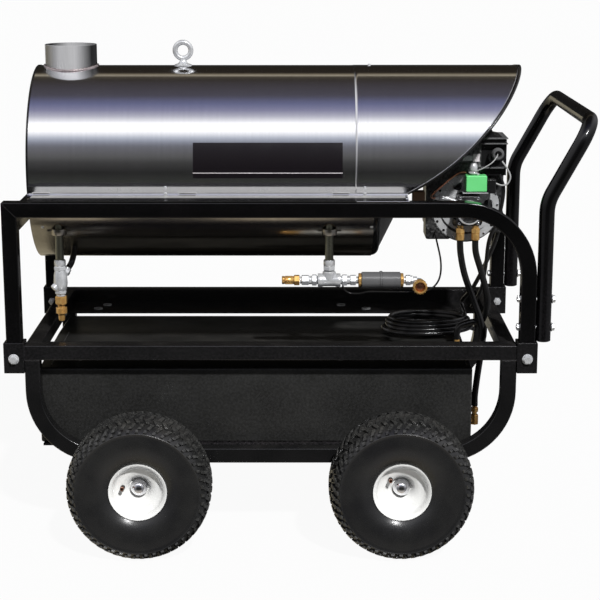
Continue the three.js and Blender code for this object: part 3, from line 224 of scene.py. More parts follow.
ROUND_X = (1.0, 0.004, 0.004)  # stretches a grain into fine lines round the X axis
F = {
    # coat is a lighter copy of gloss, the cage's black paint: its extra lightness is painted light, standing for
    # light reflected up from the ground.
    "coat": finish("ground_lit_powder_coat", rgb(0.0042, 0.0042, 0.0044), 0.2,
                   accent=rgb(0.0075, 0.0072, 0.0074), grain=700.0, relief=0.12, wear=0.4,
                   dust=0.03, worn=rgb(0.05, 0.045, 0.05)),
    "gloss": finish("black_gloss_coat", rgb(0.0012, 0.0012, 0.0013), 0.16,
                    accent=rgb(0.0022, 0.002, 0.0022), grain=700.0, relief=0.08, wear=0.3,
                    dust=0.02, worn=rgb(0.03, 0.025, 0.03)),
    "tank": finish("tank_satin_black", rgb(0.0098, 0.0098, 0.0094), 0.36,
                   accent=rgb(0.0125, 0.0125, 0.012), grain=500.0, relief=0.15, mottle=0.9,
                   scatter=0.12, dust=0.04, wear=0.4),
    "jacket": finish("brushed_stainless", rgb(0.93, 0.93, 0.935), 0.14, 1.0, accent=rgb(0.86, 0.86, 0.88),
                     grain=1500.0, stretch=ROUND_X, contrast=0.1, mottle=0.3, scatter=0.05,
                     relief=0.05, brushed=0.85),
    # under is a darker, warmer copy of the jacket's stainless, used on the lower shell, the flue plate and the stub
    # collars: painted shade.
    "under": finish("shaded_stainless_copy", rgb(0.5, 0.47, 0.42), 0.2, 1.0, accent=rgb(0.3, 0.28, 0.24),
                    grain=1200.0, stretch=ROUND_X, contrast=0.12, mottle=0.6, scatter=0.06,
                    relief=0.05, brushed=0.8),
    "zinc": finish("zinc_plating", rgb(0.76, 0.77, 0.78), 0.24, 0.6, accent=rgb(0.5, 0.51, 0.53),
                   blotch=60.0, mottle=0.7, relief=0.2, scatter=0.1),
    "chrome": finish("bright_chrome", rgb(0.85, 0.85, 0.87), 0.06, 1.0, accent=rgb(0.7, 0.7, 0.75),
                     scatter=0.03, relief=0.03),
    "brass": finish("turned_brass", rgb(0.8, 0.5, 0.17), 0.2, 0.72, accent=rgb(0.5, 0.24, 0.07),
                    blotch=70.0, mottle=0.8, relief=0.15, scatter=0.1),
    # The pipe's shade setting paints shade on its faces that look to +X.
    "pipe": finish("steel_pipe", rgb(0.3, 0.3, 0.23), 0.3, 0.6, accent=rgb(0.2, 0.2, 0.15),
                   blotch=40.0, mottle=0.8, relief=0.2, scatter=0.1, shade=(1.0, 0.4)),
    # The stack's shade setting paints shade on its faces that look to -X, and much darker shade on those that look to
    # +X.
    "stack": finish("stack_stainless", rgb(0.62, 0.62, 0.63), 0.24, 0.45,
                    accent=rgb(0.5, 0.5, 0.52), grain=1500.0, stretch=(1, 1, 0.01), contrast=0.15,
                    mottle=0.4, scatter=0.06, relief=0.06, shade=(0.25, 0.03)),
    "tyre": finish("tyre_rubber", rgb(0.0085, 0.0085, 0.009), 0.27,
                   accent=rgb(0.014, 0.014, 0.0135), grain=350.0, relief=0.3, mottle=0.8,
                   scatter=0.1, dust=0.12, wear=0.5, worn=rgb(0.07, 0.07, 0.066)),
    "rim": finish("rim_white_enamel", rgb(0.66, 0.66, 0.645), 0.16, accent=rgb(0.6, 0.6, 0.58),
                  grain=300.0, relief=0.04, mottle=0.4, coat=0.6),
    "cast": finish("burner_cast_black", rgb(0.0045, 0.0045, 0.005), 0.3, accent=rgb(0.012, 0.012, 0.013),
                   grain=450.0, relief=0.5, wear=0.6, dust=0.1),
    "plastic": finish("black_plastic", rgb(0.006, 0.006, 0.0065), 0.25, accent=rgb(0.014, 0.0135, 0.014),
                      grain=1100.0, relief=0.2, mottle=0.6, dust=0.1),
    "switch": finish("switch_dark_grey", rgb(0.08, 0.08, 0.082), 0.28, accent=rgb(0.11, 0.11, 0.112),
                     grain=1000.0, relief=0.2, mottle=0.6),
    "green": finish("solenoid_green", rgb(0.11, 0.5, 0.16), 0.35, accent=rgb(0.15, 0.6, 0.22),
                    grain=800.0, relief=0.2),
    "red": finish("button_red", rgb(0.5, 0.03, 0.02), 0.3, relief=0.1),
    "rubber": finish("hose_rubber", rgb(0.004, 0.004, 0.0042), 0.22, accent=rgb(0.009, 0.0085, 0.0085),
                     grain=900.0, relief=0.25, mottle=0.8, dust=0.1, scatter=0.1),
    "ceramic": finish("ceramic_fibre", rgb(0.6, 0.56, 0.47), 0.9, grain=260.0, relief=0.9),
    "plate": finish("plate_black", rgb(0.006, 0.0045, 0.006), 0.22, relief=0.05, coat=0.3),
    "stripe": finish("plate_pale_line", rgb(0.62, 0.58, 0.6), 0.3, relief=0.05),
    "copper": finish("copper_line", rgb(0.6, 0.27, 0.16), 0.25, 1.0, accent=rgb(0.4, 0.16, 0.1),
                     blotch=70.0, relief=0.1),
    "bead": finish("weld_bead", rgb(0.72, 0.64, 0.62), 0.3, 1.0, accent=rgb(0.5, 0.4, 0.4),
                   blotch=120.0, relief=0.4, mottle=0.9),
    "flange": finish("sunlit_flange", rgb(0.72, 0.71, 0.69), 0.3, 0.62, accent=rgb(0.6, 0.59, 0.57),
                     grain=900.0, relief=0.1, mottle=0.6),
    "tan": finish("tan_block", rgb(0.12, 0.06, 0.022), 0.5, accent=rgb(0.07, 0.03, 0.012), relief=0.2),
    "lead": finish("grey_lead", rgb(0.3, 0.3, 0.3), 0.4, accent=rgb(0.2, 0.2, 0.2), relief=0.2),
}


BRIGHT_SHEET = ("jacket", "under", "stack", "flange")
GLINTS = bpy.data.collections.new("pieces_that_glint")


# ------------------------------------------------------------------ shapes
class Shape:
    """The vertices and faces of one piece, gathered part by part."""

    def __init__(self):
        self.verts, self.faces = [], []

    def add(self, verts, faces):
        base = len(self.verts)
        self.verts += [Vector(v) for v in verts]
        self.faces += [[base + i for i in face] for face in faces]
        return self

    def merge(self, *others):
        for other in others:
            self.add(other.verts, other.faces)
        return self

    def moved(self, matrix):
        copy = Shape()
        return copy.add([matrix @ v for v in self.verts], self.faces)


def square_to(direction):
    """Two unit vectors that complete a direction to a right-handed set."""
    along = direction.normalized()
    helper = AXES["z"] if abs(along.z) < 0.9 else AXES["x"]
    across = helper.cross(along).normalized()
    return along, across, along.cross(across)


def grid_faces(rows, columns, closed_rows, closed_columns):
    faces = []
    for r in range(rows if closed_rows else rows - 1):
        for c in range(columns if closed_columns else columns - 1):
            nr, nc = (r + 1) % rows, (c + 1) % columns
            faces.append([r * columns + c, r * columns + nc, nr * columns + nc, nr * columns + c])
    return faces


def revolve(profile, axis, origin, sides=48):
    """A profile of (radius, distance) turned about a line; open ends are capped on the axis."""
    direction = AXES[axis] if isinstance(axis, str) else axis
    along, across, up = square_to(direction)
    origin = Vector(origin)
    ring = [(math.cos(2 * PI * i / sides), math.sin(2 * PI * i / sides)) for i in range(sides)]
    shape = Shape()
    solid = [(r, d) for r, d in profile if r > 1e-6]
    verts = [origin + along * d + across * (r * c) + up * (r * s) for r, d in solid for c, s in ring]
    capped = profile[0][0] <= 1e-6 or profile[-1][0] <= 1e-6
    faces = grid_faces(len(solid), sides, not capped, True)
    if capped:
        faces.append(list(range(sides))[::-1])
        faces.append([(len(solid) - 1) * sides + i for i in range(sides)])
    return shape.add(verts, faces)


def rod(start, end, radius, sides=24, chamfer=0.0006):
    start, end = Vector(start), Vector(end)
    length = (end - start).length
    chamfer = min(chamfer, radius / 3, length / 3)
    profile = [(0, 0), (radius - chamfer, 0), (radius, chamfer), (radius, length - chamfer),
               (radius - chamfer, length), (0, length)]
    return revolve(profile, end - start, start, sides)


def hexagon(start, end, across_flats):
    """A hexagonal length of bar with its corners turned off at both ends."""
    radius = across_flats / math.sqrt(3)
    chamfer = min(0.0012, (Vector(end) - Vector(start)).length / 3)
    return rod(start, end, radius, 6, chamfer)


def thread(start, end, radius, pitch=0.0018):
    """A threaded length, drawn as a row of rings."""
    length = (Vector(end) - Vector(start)).length
    turns = max(2, round(length / pitch))
    profile = [(0, 0)]
    for i in range(turns):
        for share, depth in ((0.0, 0.0008), (0.35, 0.0), (0.65, 0.0), (1.0, 0.0008)):
            profile.append((radius - depth, (i + share * 0.999) * length / turns))
    return revolve(profile + [(0, length)], Vector(end) - Vector(start), start, 32)


def slab(lowest, highest):
    (x0, y0, z0), (x1, y1, z1) = lowest, highest
    verts = [(x, y, z) for x in (x0, x1) for y in (y0, y1) for z in (z0, z1)]
    faces = [(0, 1, 3, 2), (4, 6, 7, 5), (0, 4, 5, 1), (2, 3, 7, 6), (0, 2, 6, 4), (1, 5, 7, 3)]
    return Shape().add(verts, faces)


def prism(outline, axis, start, end):
    """A flat outline of (first, second) coordinates, carried along the third axis."""
    place = {"x": lambda a, b, d: (d, a, b), "y": lambda a, b, d: (a, d, b), "z": lambda a, b, d: (a, b, d)}
    verts = [place[axis](a, b, d) for d in (start, end) for a, b in outline]
    count = len(outline)
    faces = grid_faces(2, count, False, True)
    faces += [list(range(count))[::-1], [count + i for i in range(count)]]
    return Shape().add(verts, faces)


def arc(centre, radius, start, end, steps=16):
    """Points of an arc in a plane, angles in degrees."""
    angles = [math.radians(start + (end - start) * i / steps) for i in range(steps + 1)]
    return [(centre[0] + radius * math.cos(a), centre[1] + radius * math.sin(a)) for a in angles]


def circle(radius, sides):
    return [(radius * math.cos(2 * PI * i / sides), radius * math.sin(2 * PI * i / sides))
            for i in range(sides)]


def sweep(path, section, closed=False, waves=None):
    """A section carried along a path without twist; waves scales it at each station."""
    path = [Vector(p) for p in path]
    count = len(path)
    tangents = []
    for i in range(count):
        before = path[i - 1] if closed or i else path[i]
        after = path[(i + 1) % count] if closed or i < count - 1 else path[i]
        tangents.append((after - before).normalized())
    side = square_to(tangents[0])[1]
    verts = []
    for i, (point, tangent) in enumerate(zip(path, tangents)):
        side = (side - tangent * side.dot(tangent)).normalized()
        up = tangent.cross(side)
        size = waves(i) if waves else 1.0
        verts += [point + side * (a * size) + up * (b * size) for a, b in section]
    faces = grid_faces(count, len(section), closed, True)
    if not closed:
        faces.append(list(range(len(section)))[::-1])
        faces.append([(count - 1) * len(section) + i for i in range(len(section))])
    return Shape().add(verts, faces)


def soft(points, steps=10):
    """A smooth line through points."""
    points = [Vector(p) for p in points]
    ends = [2 * points[0] - points[1], *points, 2 * points[-1] - points[-2]]
    line = []
    for a, b, c, d in zip(ends, ends[1:], ends[2:], ends[3:]):
        for i in range(steps):
            t = i / steps
            line.append(
                0.5 * ((2 * b) + (c - a) * t + (2 * a - 5 * b + 4 * c - d) * t**2
                       + (3 * b - a - 3 * c + d) * t**3)
            )
    return line + [points[-1]]


def rounded(corners, steps=14):
    """A line of straight runs with round bends; corners are (x, y, z, bend radius)."""
    points = [Vector(c[:3]) for c in corners]
    line = [points[0]]
    for before, here, after, corner in zip(points, points[1:], points[2:], corners[1:]):
        into, out = (here - before).normalized(), (after - here).normalized()
        turn = into.angle(out)
        axis = into.cross(out).normalized()
        start = here - into * corner[3] * math.tan(turn / 2)
        centre = start + axis.cross(into) * corner[3]
        for k in range(steps + 1):
            line.append(centre + Matrix.Rotation(turn * k / steps, 3, axis) @ (start - centre))
    return line + [points[-1]]


def hose(points, radius, sides=16):
    return sweep(soft(points), circle(radius, sides))


def bead(path, radius=0.0024, closed=False, ripple=0.18):
    """A weld bead along a path, with the ripples of its puddles."""
    return sweep(path, circle(radius, 8), closed, lambda i: 1 + ripple * math.sin(i * 1.9) + 0.1 * math.sin(i * 0.7))


def helix(centre, axis, radius, start, end, turns, steps=40):
    along, across, up = square_to(AXES[axis])
    count = int(turns * steps)
    return [
        Vector(centre) + along * (start + (end - start) * i / count)
        + across * (radius * math.cos(2 * PI * i / steps)) + up * (radius * math.sin(2 * PI * i / steps))
        for i in range(count + 1)
    ]


def face_outward(mesh):
    work = bmesh.new()
    work.from_mesh(mesh)
    bmesh.ops.recalc_face_normals(work, faces=work.faces)
    work.to_mesh(mesh)
    work.free()


def publish(name, shape, look, body="cart", nodes=(), bevel=0.0, sharp=35.0, thick=0.0, cuts=None):
    """Turns a shape into a piece of the model that rides on a body."""
    mesh = bpy.data.meshes.new(name)
    mesh.from_pydata([v + ORIGIN for v in shape.verts], [], shape.faces)
    face_outward(mesh)
    piece = bpy.data.objects.new(name, mesh)
    bpy.context.scene.collection.objects.link(piece)
    if thick:
        wall = piece.modifiers.new("wall", "SOLIDIFY")
        wall.thickness = abs(thick)
        wall.offset = -1 if thick > 0 else 1
    if cuts:
        carve(piece, cuts)
    piece.data.materials.clear()
    piece.data.materials.append(F[look])
    piece.data.polygons.foreach_set("use_smooth", [True] * len(piece.data.polygons))
    piece.data.set_sharp_from_angle(angle=math.radians(sharp))
    if bevel:
        edge = piece.modifiers.new("edges", "BEVEL")
        edge.width = bevel
        edge.segments = 3
        edge.limit_method = "ANGLE"
        edge.angle_limit = math.radians(sharp)
        edge.harden_normals = True
    if look not in BRIGHT_SHEET:
        GLINTS.objects.link(piece)
    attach(piece, body)
    if nodes:
        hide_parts(*nodes)
    return piece


def carve(piece, cutters):
    """Applies the piece's modifiers and cuts the cutters' shapes out of it."""
    for index, shape in enumerate(cutters):
        mesh = bpy.data.meshes.new("cutter")
        mesh.from_pydata([v + ORIGIN for v in shape.verts], [], shape.faces)
        face_outward(mesh)
        tool = bpy.data.objects.new("cutter" + str(index), mesh)
        bpy.context.scene.collection.objects.link(tool)
        tool.hide_render = True
        difference = piece.modifiers.new("cut", "BOOLEAN")
        difference.object = tool
        difference.operation = "DIFFERENCE"
        difference.solver = "EXACT"
    shown = piece.evaluated_get(bpy.context.evaluated_depsgraph_get())
    result = bpy.data.meshes.new_from_object(shown)
    for modifier in list(piece.modifiers):
        if modifier.type == "BOOLEAN":
            bpy.data.objects.remove(modifier.object)
        piece.modifiers.remove(modifier)
    piece.data = result


def dress(node, look, bevel=0.0006):
    """A CAD node that is shown as it is, with its edges eased and a finish of its own."""
    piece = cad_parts[node]
    piece.data.materials.clear()
    piece.data.materials.append(F[look])
    piece.data.polygons.foreach_set("use_smooth", [True] * len(piece.data.polygons))
    piece.data.set_sharp_from_angle(angle=math.radians(38))
    if bevel:
        edge = piece.modifiers.new("edges", "BEVEL")
        edge.width = bevel
        edge.segments = 2
        edge.limit_method = "ANGLE"
        edge.angle_limit = math.radians(38)


# ------------------------------------------------------------------ cart frame
TUBE_EDGE = 0.0032


def loop_outline(end, low_z, high_z, bend):
    """Side view of a bent loop of tube that stands open at its top."""
    inner = bend - TUBE
    outside = arc((-end + bend, low_z + bend), bend, 180, 270) + arc((end - bend, low_z + bend), bend, 270, 360)
    inside = arc((end - bend, low_z + bend), inner, 360, 270) + arc((-end + bend, low_z + bend), inner, 270, 180)
    return [(-end, high_z), *outside, (end, high_z), (end - TUBE, high_z), *inside, (-end + TUBE, high_z)]


def hoop_outline():
    """Side view of a cage hoop: a mitred corner at the front, a bend at the rear."""
    centre = (CAGE_END - CAGE_BEND, CAGE_TOP - CAGE_BEND)
    return [
        (-CAGE_END, CAGE_FOOT), (-CAGE_END, CAGE_TOP), *arc(centre, CAGE_BEND, 90, 0, 22),
        (CAGE_END, CAGE_FOOT), (CAGE_END - TUBE, CAGE_FOOT), *arc(centre, CAGE_BEND - TUBE, 0, 90, 22),
        (-CAGE_END + TUBE, CAGE_TOP - TUBE), (-CAGE_END + TUBE, CAGE_FOOT),
    ]


def build_lower_frame():
    base = ("lower_frame",)
    for place, side in SIDES.items():
        y = side * RAIL_Y
        outline = loop_outline(FRAME_END, RAIL_UNDER, DECK_UNDER, CRADLE_BEND)
        loop = prism(outline, "y", y - TUBE / 2, y + TUBE / 2)
        publish("cradle_loop_" + place, loop, "coat", nodes=base, bevel=TUBE_EDGE)
        rail = slab((-FRAME_END, y - TUBE / 2, DECK_UNDER), (FRAME_END, y + TUBE / 2, DECK_TOP))
        publish("deck_rail_" + place, rail, "coat", bevel=TUBE_EDGE)
        outer = side * (FRAME_SIDE - TUBE)
        inner = side * (FRAME_SIDE - TUBE - STRIP_WIDTH)
        span = sorted((outer, inner))
        strip = slab((-FRAME_END + TUBE, span[0], DECK_UNDER),
                     (FRAME_END - TUBE, span[1], DECK_UNDER + STRIP_THICK))
        holes = [rod((x, side * hy, DECK_UNDER - 0.01), (x, side * hy, DECK_TOP), 0.006, 20)
                 for x, hy in STRIP_HOLES]
        publish("equipment_strip_" + place, strip, "coat", cuts=holes, bevel=0.0008)
        washers = Shape()
        top = DECK_UNDER + STRIP_THICK
        for x, hy in STRIP_HOLES:
            ring = [(0.0064, top), (0.0125, top), (0.0125, top + 0.0014), (0.0064, top + 0.0014)]
            washers.merge(revolve(ring, "z", (x, side * hy, 0), 32))
        publish("strip_hole_washers_" + place, washers, "zinc")
    for place, end in ENDS.items():
        inner, outer = sorted((end * FRAME_END, end * (FRAME_END - TUBE)))
        half = RAIL_Y - TUBE / 2
        bar = slab((inner, -half, DECK_UNDER), (outer, half, DECK_TOP))
        publish("deck_end_rail_" + place, bar, "coat", bevel=TUBE_EDGE)
        x = end * CROSS_TUBE_X
        cross = slab((x - TUBE / 2, -half, RAIL_UNDER), (x + TUBE / 2, half, RAIL_UNDER + TUBE))
        publish("cross_tube_" + place, cross, "coat", bevel=TUBE_EDGE)
        for name, side in SIDES.items():
            corner = place + "_" + name
            cx, cy = end * LEG_X, side * RAIL_Y
            h = SLEEVE / 2
            sleeve = slab((cx - h, cy - h, SLEEVE_BOTTOM), (cx + h, cy + h, SLEEVE_TOP))
            g = TUBE / 2 + 0.0003
            bore = slab((cx - g, cy - g, SLEEVE_BOTTOM - 0.01), (cx + g, cy + g, SLEEVE_TOP + 0.01))
            publish("corner_sleeve_" + corner, sleeve, "coat", cuts=[bore], bevel=0.0016)
            x = end * abs(middle("tyre_" + corner).x)
            saddle = slab((x - 0.02, cy - TUBE / 2, AXLE_Z - 0.014), (x + 0.02, cy + TUBE / 2, RAIL_UNDER))
            publish("axle_saddle_" + corner, saddle, "coat", bevel=0.002)
            seam_x = end * FRAME_END
            outer_y = side * FRAME_SIDE
            seams = Shape()
            seams.merge(
                bead([(seam_x, outer_y - side * 0.001, DECK_UNDER + TUBE * i / 12) for i in range(13)]),
                bead([(end * (FRAME_END - TUBE * i / 12), outer_y - side * 0.001, DECK_UNDER)
                      for i in range(13)], 0.0018),
            )
            publish("frame_weld_" + corner, seams, "coat")


def build_cage():
    for place, side in SIDES.items():
        y = side * RAIL_Y
        hoop = prism(hoop_outline(), "y", y - TUBE / 2, y + TUBE / 2)
        publish("cage_hoop_" + place, hoop, "gloss", nodes=("upper_cage",), bevel=TUBE_EDGE)
        outer = side * (FRAME_SIDE + 0.0001)
        mitre = [(-CAGE_END + TUBE * (0.06 + 0.88 * i / 14), outer, CAGE_TOP - TUBE * (0.06 + 0.88 * i / 14))
                 for i in range(15)]
        publish("cage_mitre_weld_" + place, bead(mitre, 0.0011), "gloss")
    half = RAIL_Y - TUBE / 2
    cross = slab((-CAGE_END, -half, CAGE_TOP - 2 * TUBE), (-CAGE_END + TUBE, half, CAGE_TOP - TUBE))
    publish("cage_cross_tube", cross, "gloss", bevel=TUBE_EDGE)


def build_handle():
    tube = 0.019
    foot_x = low("handle").x + tube
    bar_x = high("handle").x - tube
    bar_z = high("handle").z - tube
    near = [(foot_x, -RAIL_Y, low("handle").z, 0), (foot_x, -RAIL_Y, 0.87, 0.11),
            (bar_x, -RAIL_Y, bar_z, 0.065)]
    far = [(x, -y, z, bend) for x, y, z, bend in near[::-1]]
    path = rounded(near + far)
    shape = sweep(path, circle(tube, 32))
    for side in SIDES.values():
        foot = Vector((foot_x, side * RAIL_Y, low("handle").z))
        shape.merge(rod(foot - AXES["z"] * 0.0015, foot + AXES["z"] * 0.01, tube - 0.002, 32))
    publish("push_handle", shape, "gloss", nodes=("handle",), sharp=50)


def bolt(name, start, end, radius, head_side):
    """A hex bolt with washers and a nut, from its head to its tip."""
    start, end = Vector(start), Vector(end)
    along = (end - start).normalized()
    across = radius * 3.3
    shape = Shape().merge(
        hexagon(start, start + along * radius * 1.25, across),
        rod(start + along * radius * 1.2, start + along * (radius * 1.2 + 0.0022), radius * 2.25, 36),
        rod(start + along * radius, end - along * radius * 1.5, radius * 0.98, 24),
        thread(end - along * radius * 1.6, end, radius * 0.96, 0.0016),
        hexagon(end - along * (radius * 1.9), end - along * radius * 0.3, across * 0.98),
        rod(start - along * 0.0006, start + along * 0.001, radius * 1.35, 32),
    )
    publish(name.replace("bolt", "hex_bolt"), shape, "zinc", nodes=(name,), bevel=0.0004)


def build_bolts():
    for index in range(1, 5):
        name = "frame_bolt_" + str(index)
        centre, side = middle(name), math.copysign(1, middle(name).y)
        ends = sorted((low(name).y, high(name).y), key=lambda y: -abs(y))
        bolt(name, (centre.x, ends[0], centre.z), (centre.x, ends[1], centre.z), 0.006, side)
        name = "handle_bolt_" + str(index)
        centre = middle(name)
        bolt(name, (high(name).x, centre.y, centre.z), (low(name).x, centre.y, centre.z), 0.005, 1)


# ------------------------------------------------------------------ wheels
# Profiles are (radius, distance outboard of the wheel's middle plane).
TYRE_CROWN = [
    (0.1555, 0.0718), (0.158, 0.069), (0.164, 0.0625), (0.1695, 0.052), (0.173, 0.038),
    (0.1745, 0.02), (0.1745, 0.0),
]
TYRE_HALF = [
    (0.0655, 0.040), (0.0665, 0.0505), (0.070, 0.0545), (0.076, 0.0595), (0.086, 0.0655),
    (0.100, 0.0708), (0.116, 0.0733), (0.130, 0.0738), (0.144, 0.0726), (0.1515, 0.0722),
    (0.1535, 0.0733), *TYRE_CROWN,
]
RIM = [
    (0.0105, -0.046), (0.019, -0.046), (0.019, -0.006), (0.050, -0.005), (0.0605, -0.003),
    (0.0605, -0.054), (0.070, -0.0575), (0.0715, -0.0555), (0.0625, -0.049), (0.0625, 0.046),
    (0.0655, 0.0515), (0.0700, 0.0560), (0.0716, 0.0572), (0.0724, 0.0556), (0.0716, 0.0592),
    (0.0695, 0.0588), (0.0645, 0.0545), (0.0622, 0.0490), (0.0600, 0.0420), (0.0550, 0.0375),
    (0.0460, 0.0350), (0.0360, 0.0310), (0.0290, 0.0230), (0.0250, 0.0140), (0.0236, 0.0105),
    (0.0212, 0.0120), (0.0105, 0.0120),
]
HUB_CAP = [
    (0, 0.0100), (0.0200, 0.0100), (0.0218, 0.0115), (0.0218, 0.0160), (0.0206, 0.0216),
    (0.0178, 0.0270), (0.0136, 0.0312), (0.0082, 0.0340), (0.0035, 0.0350), (0, 0.0351),
]
# Rows of tread blocks from a shoulder to the middle: where they start and end, how far round
# they stand, their length and their lean, each in shares of the pitch.
LUG_ROWS = [
    (0.99, 0.74, 0.0, 0.44, 0.08),
    (0.70, 0.47, 0.45, 0.48, 0.4),
    (0.43, 0.20, 0.95, 0.48, -0.35),
]
LUG_HEIGHT = 0.0052
LUGS_ROUND = 48


def crown_point(share, lift):
    """Radius and offset on the tyre's crown; share runs from one shoulder (-1) to the other (1)."""
    half = TYRE_CROWN
    place = (1 - abs(share)) * (len(half) - 1)
    index = min(int(place), len(half) - 2)
    rest = place - index
    (r0, y0), (r1, y1) = half[index], half[index + 1]
    radius, offset = r0 + (r1 - r0) * rest, y0 + (y1 - y0) * rest
    normal = Vector((y0 - y1, r1 - r0)).normalized()
    return radius + normal.x * lift, math.copysign(offset + normal.y * lift, share)


def lug(start, end, angle, turn, skew, height):
    """One tread block between two shares of the crown, bent over it; skew leans it round the tyre."""
    cuts = 4
    verts = []
    for i in range(cuts + 1):
        share = start + (end - start) * i / cuts
        lean = skew * (i / cuts - 0.5)
        for lift, width in ((-0.002, 1.0), (height, 0.78)):
            radius, offset = crown_point(share, lift)
            for side in (-1, 1):
                a = angle + lean + side * turn / 2 * width
                verts.append((radius * math.cos(a), offset, radius * math.sin(a)))
    faces = []
    for i in range(cuts):
        a, b = 4 * i, 4 * i + 4
        faces += [(a, a + 1, b + 1, b), (a + 2, b + 2, b + 3, a + 3), (a, b, b + 2, a + 2),
                  (a + 1, a + 3, b + 3, b + 1)]
    faces += [(0, 2, 3, 1), (4 * cuts, 4 * cuts + 1, 4 * cuts + 3, 4 * cuts + 2)]
    return Shape().add(verts, faces)


def tyre_shape():
    profile = TYRE_HALF + [(r, -y) for r, y in TYRE_HALF[-2::-1]]
    lining = [(0.166, 0.04), (0.12, 0.064), (0.074, 0.04)]
    profile += [(r, -y) for r, y in lining[::-1]] + lining
    shape = revolve(profile, "y", (0, 0, 0), 132)
    pitch = 2 * PI / LUGS_ROUND
    for i in range(LUGS_ROUND):
        for side in (-1, 1):
            for start, end, turn, length, lean in LUG_ROWS:
                shape.merge(lug(side * start, side * end, (i + turn + side * 0.12) * pitch,
                                length * pitch, side * lean * pitch, LUG_HEIGHT))
        shape.merge(lug(0.16, -0.16, (i + 0.5) * pitch, 0.5 * pitch, 0.3 * pitch, LUG_HEIGHT))
    return shape


def valve_shape():
    """The filler valve of the tube: a rubber foot, a metal stem and a small cap."""
    foot = Vector((0.0385, 0.0315, 0))
    tip = foot + Vector((0.001, 0.0215, 0.001))
    along = (tip - foot).normalized()
    rubber = Shape().merge(rod(foot, foot + along * 0.01, 0.0058, 20, 0.0025))
    cap = Shape().merge(rod(foot + along * 0.009, tip, 0.0036, 16), rod(tip - along * 0.009, tip, 0.0046, 12))
    return rubber, cap


def build_wheels():
    tyre, rim, cap = tyre_shape(), revolve(RIM, "y", (0, 0, 0), 96), revolve(HUB_CAP, "y", (0, 0, 0), 48)
    for place, end in ENDS.items():
        for name, side in SIDES.items():
            corner = place + "_" + name
            body = "wheel_" + corner
            centre = middle("tyre_" + corner)
            facing = Matrix.Rotation(0 if side > 0 else PI, 4, "Z")
            at = Matrix.Translation(centre) @ facing
            stand = Matrix.Rotation(math.radians(-9 if end < 0 else -43), 4, "Y")
            publish("tyre_turf_" + corner, tyre.moved(at), "tyre", body, ("tyre_" + corner,), sharp=32)
            publish("rim_dish_" + corner, rim.moved(at), "rim", body, ("rim_" + corner,), sharp=50)
            publish("hub_dome_" + corner, cap.moved(at), "chrome", body, ("hub_cap_" + corner,), sharp=60)
            rubber, stem = valve_shape()
            publish("valve_foot_" + corner, rubber.moved(at @ stand), "rubber", body)
            publish("valve_stem_" + corner, stem.moved(at @ stand), "copper", body)


# ------------------------------------------------------------------ fuel tank
def build_tank():
    lowest, highest = low("fuel_tank"), high("fuel_tank")
    neck_top = highest.z
    top, ridge, corner = 0.44, 0.006, 0.008
    near, far, base = lowest.y, highest.y, lowest.z
    peak_y = middle("tank_cap").y
    outline = [
        *arc((far - corner, base + corner), corner, -90, 0, 6),
        *arc((far - corner, top - corner), corner, 0, 88, 6),
        (peak_y, top + ridge),
        *arc((near + corner, top - corner), corner, 92, 180, 6),
        *arc((near + corner, base + corner), corner, 180, 270, 6),
    ]
    body = prism(outline, "x", lowest.x - 0.017, highest.x)
    publish("fuel_tank_body", body, "tank", nodes=("fuel_tank",), bevel=0.005, sharp=50)
    lips = Shape().merge(*[slab((lowest.x - 0.01, min(side * 0.285, side * 0.305), base - 0.004),
                                (highest.x, max(side * 0.285, side * 0.305), base + 0.0012))
                           for side in (-1, 1)])
    publish("tank_shelf_lips", lips, "coat")
    cap = middle("tank_cap")
    neck = revolve([(0.024, 0.434), (0.03, 0.434), (0.03, neck_top - 0.001), (0.024, neck_top - 0.001)],
                   "z", (cap.x, cap.y, 0), 40)
    ring = bead([(cap.x + 0.031 * c, cap.y + 0.031 * s, top + 0.006) for c, s in circle(1, 60)], 0.002, True)
    publish("tank_filler_neck", neck.merge(ring), "tank")
    foot = Vector((0.49, -0.085, top))
    fitting = Shape().merge(rod(foot, foot + AXES["z"] * 0.022, 0.0072, 24),
                            hexagon(foot + AXES["z"] * 0.002, foot + AXES["z"] * 0.011, 0.019))
    publish("tank_return_fitting", fitting, "brass", bevel=0.0004)
    for x in (lowest.x + 0.012, highest.x - 0.012):
        seam = [(x, y, z + 0.0005) for y, z in ((near + 0.02 + (peak_y - near - 0.03) * i / 24,
                top + ridge * i / 24) for i in range(25))]
        publish("tank_seam_" + ("front" if x < 0 else "rear"), bead(seam, 0.0016, ripple=0.1), "tank")
    build_cap(cap)


def build_cap(centre):
    top, base = high("tank_cap").z, low("tank_cap").z
    profile = [(0.0305, base), (0.037, base), (0.0378, base + 0.002), (0.0378, top - 0.005), (0.0345, top - 0.0012),
               (0.03, top), (0.012, top - 0.0012), (0, top - 0.0016), (0, base + 0.016), (0.0305, base + 0.016)]
    shape = revolve([(0, base + 0.0145), (0.0305, base + 0.0145), (0.0305, base), *profile[1:8]], "z",
                    (centre.x, centre.y, 0), 60)
    for i in range(30):
        a = 2 * PI * i / 30
        spot = Vector((centre.x + 0.0376 * math.cos(a), centre.y + 0.0376 * math.sin(a), base + 0.003))
        shape.merge(rod(spot, spot + AXES["z"] * (top - base - 0.01), 0.0013, 8, 0.0004))
    bar = slab((centre.x - 0.026, centre.y - 0.004, top - 0.003), (centre.x + 0.026, centre.y + 0.004, top + 0.003))
    publish("tank_cap_ribbed", shape.merge(bar), "plastic", "tank_cap", ("tank_cap",), bevel=0.0005)


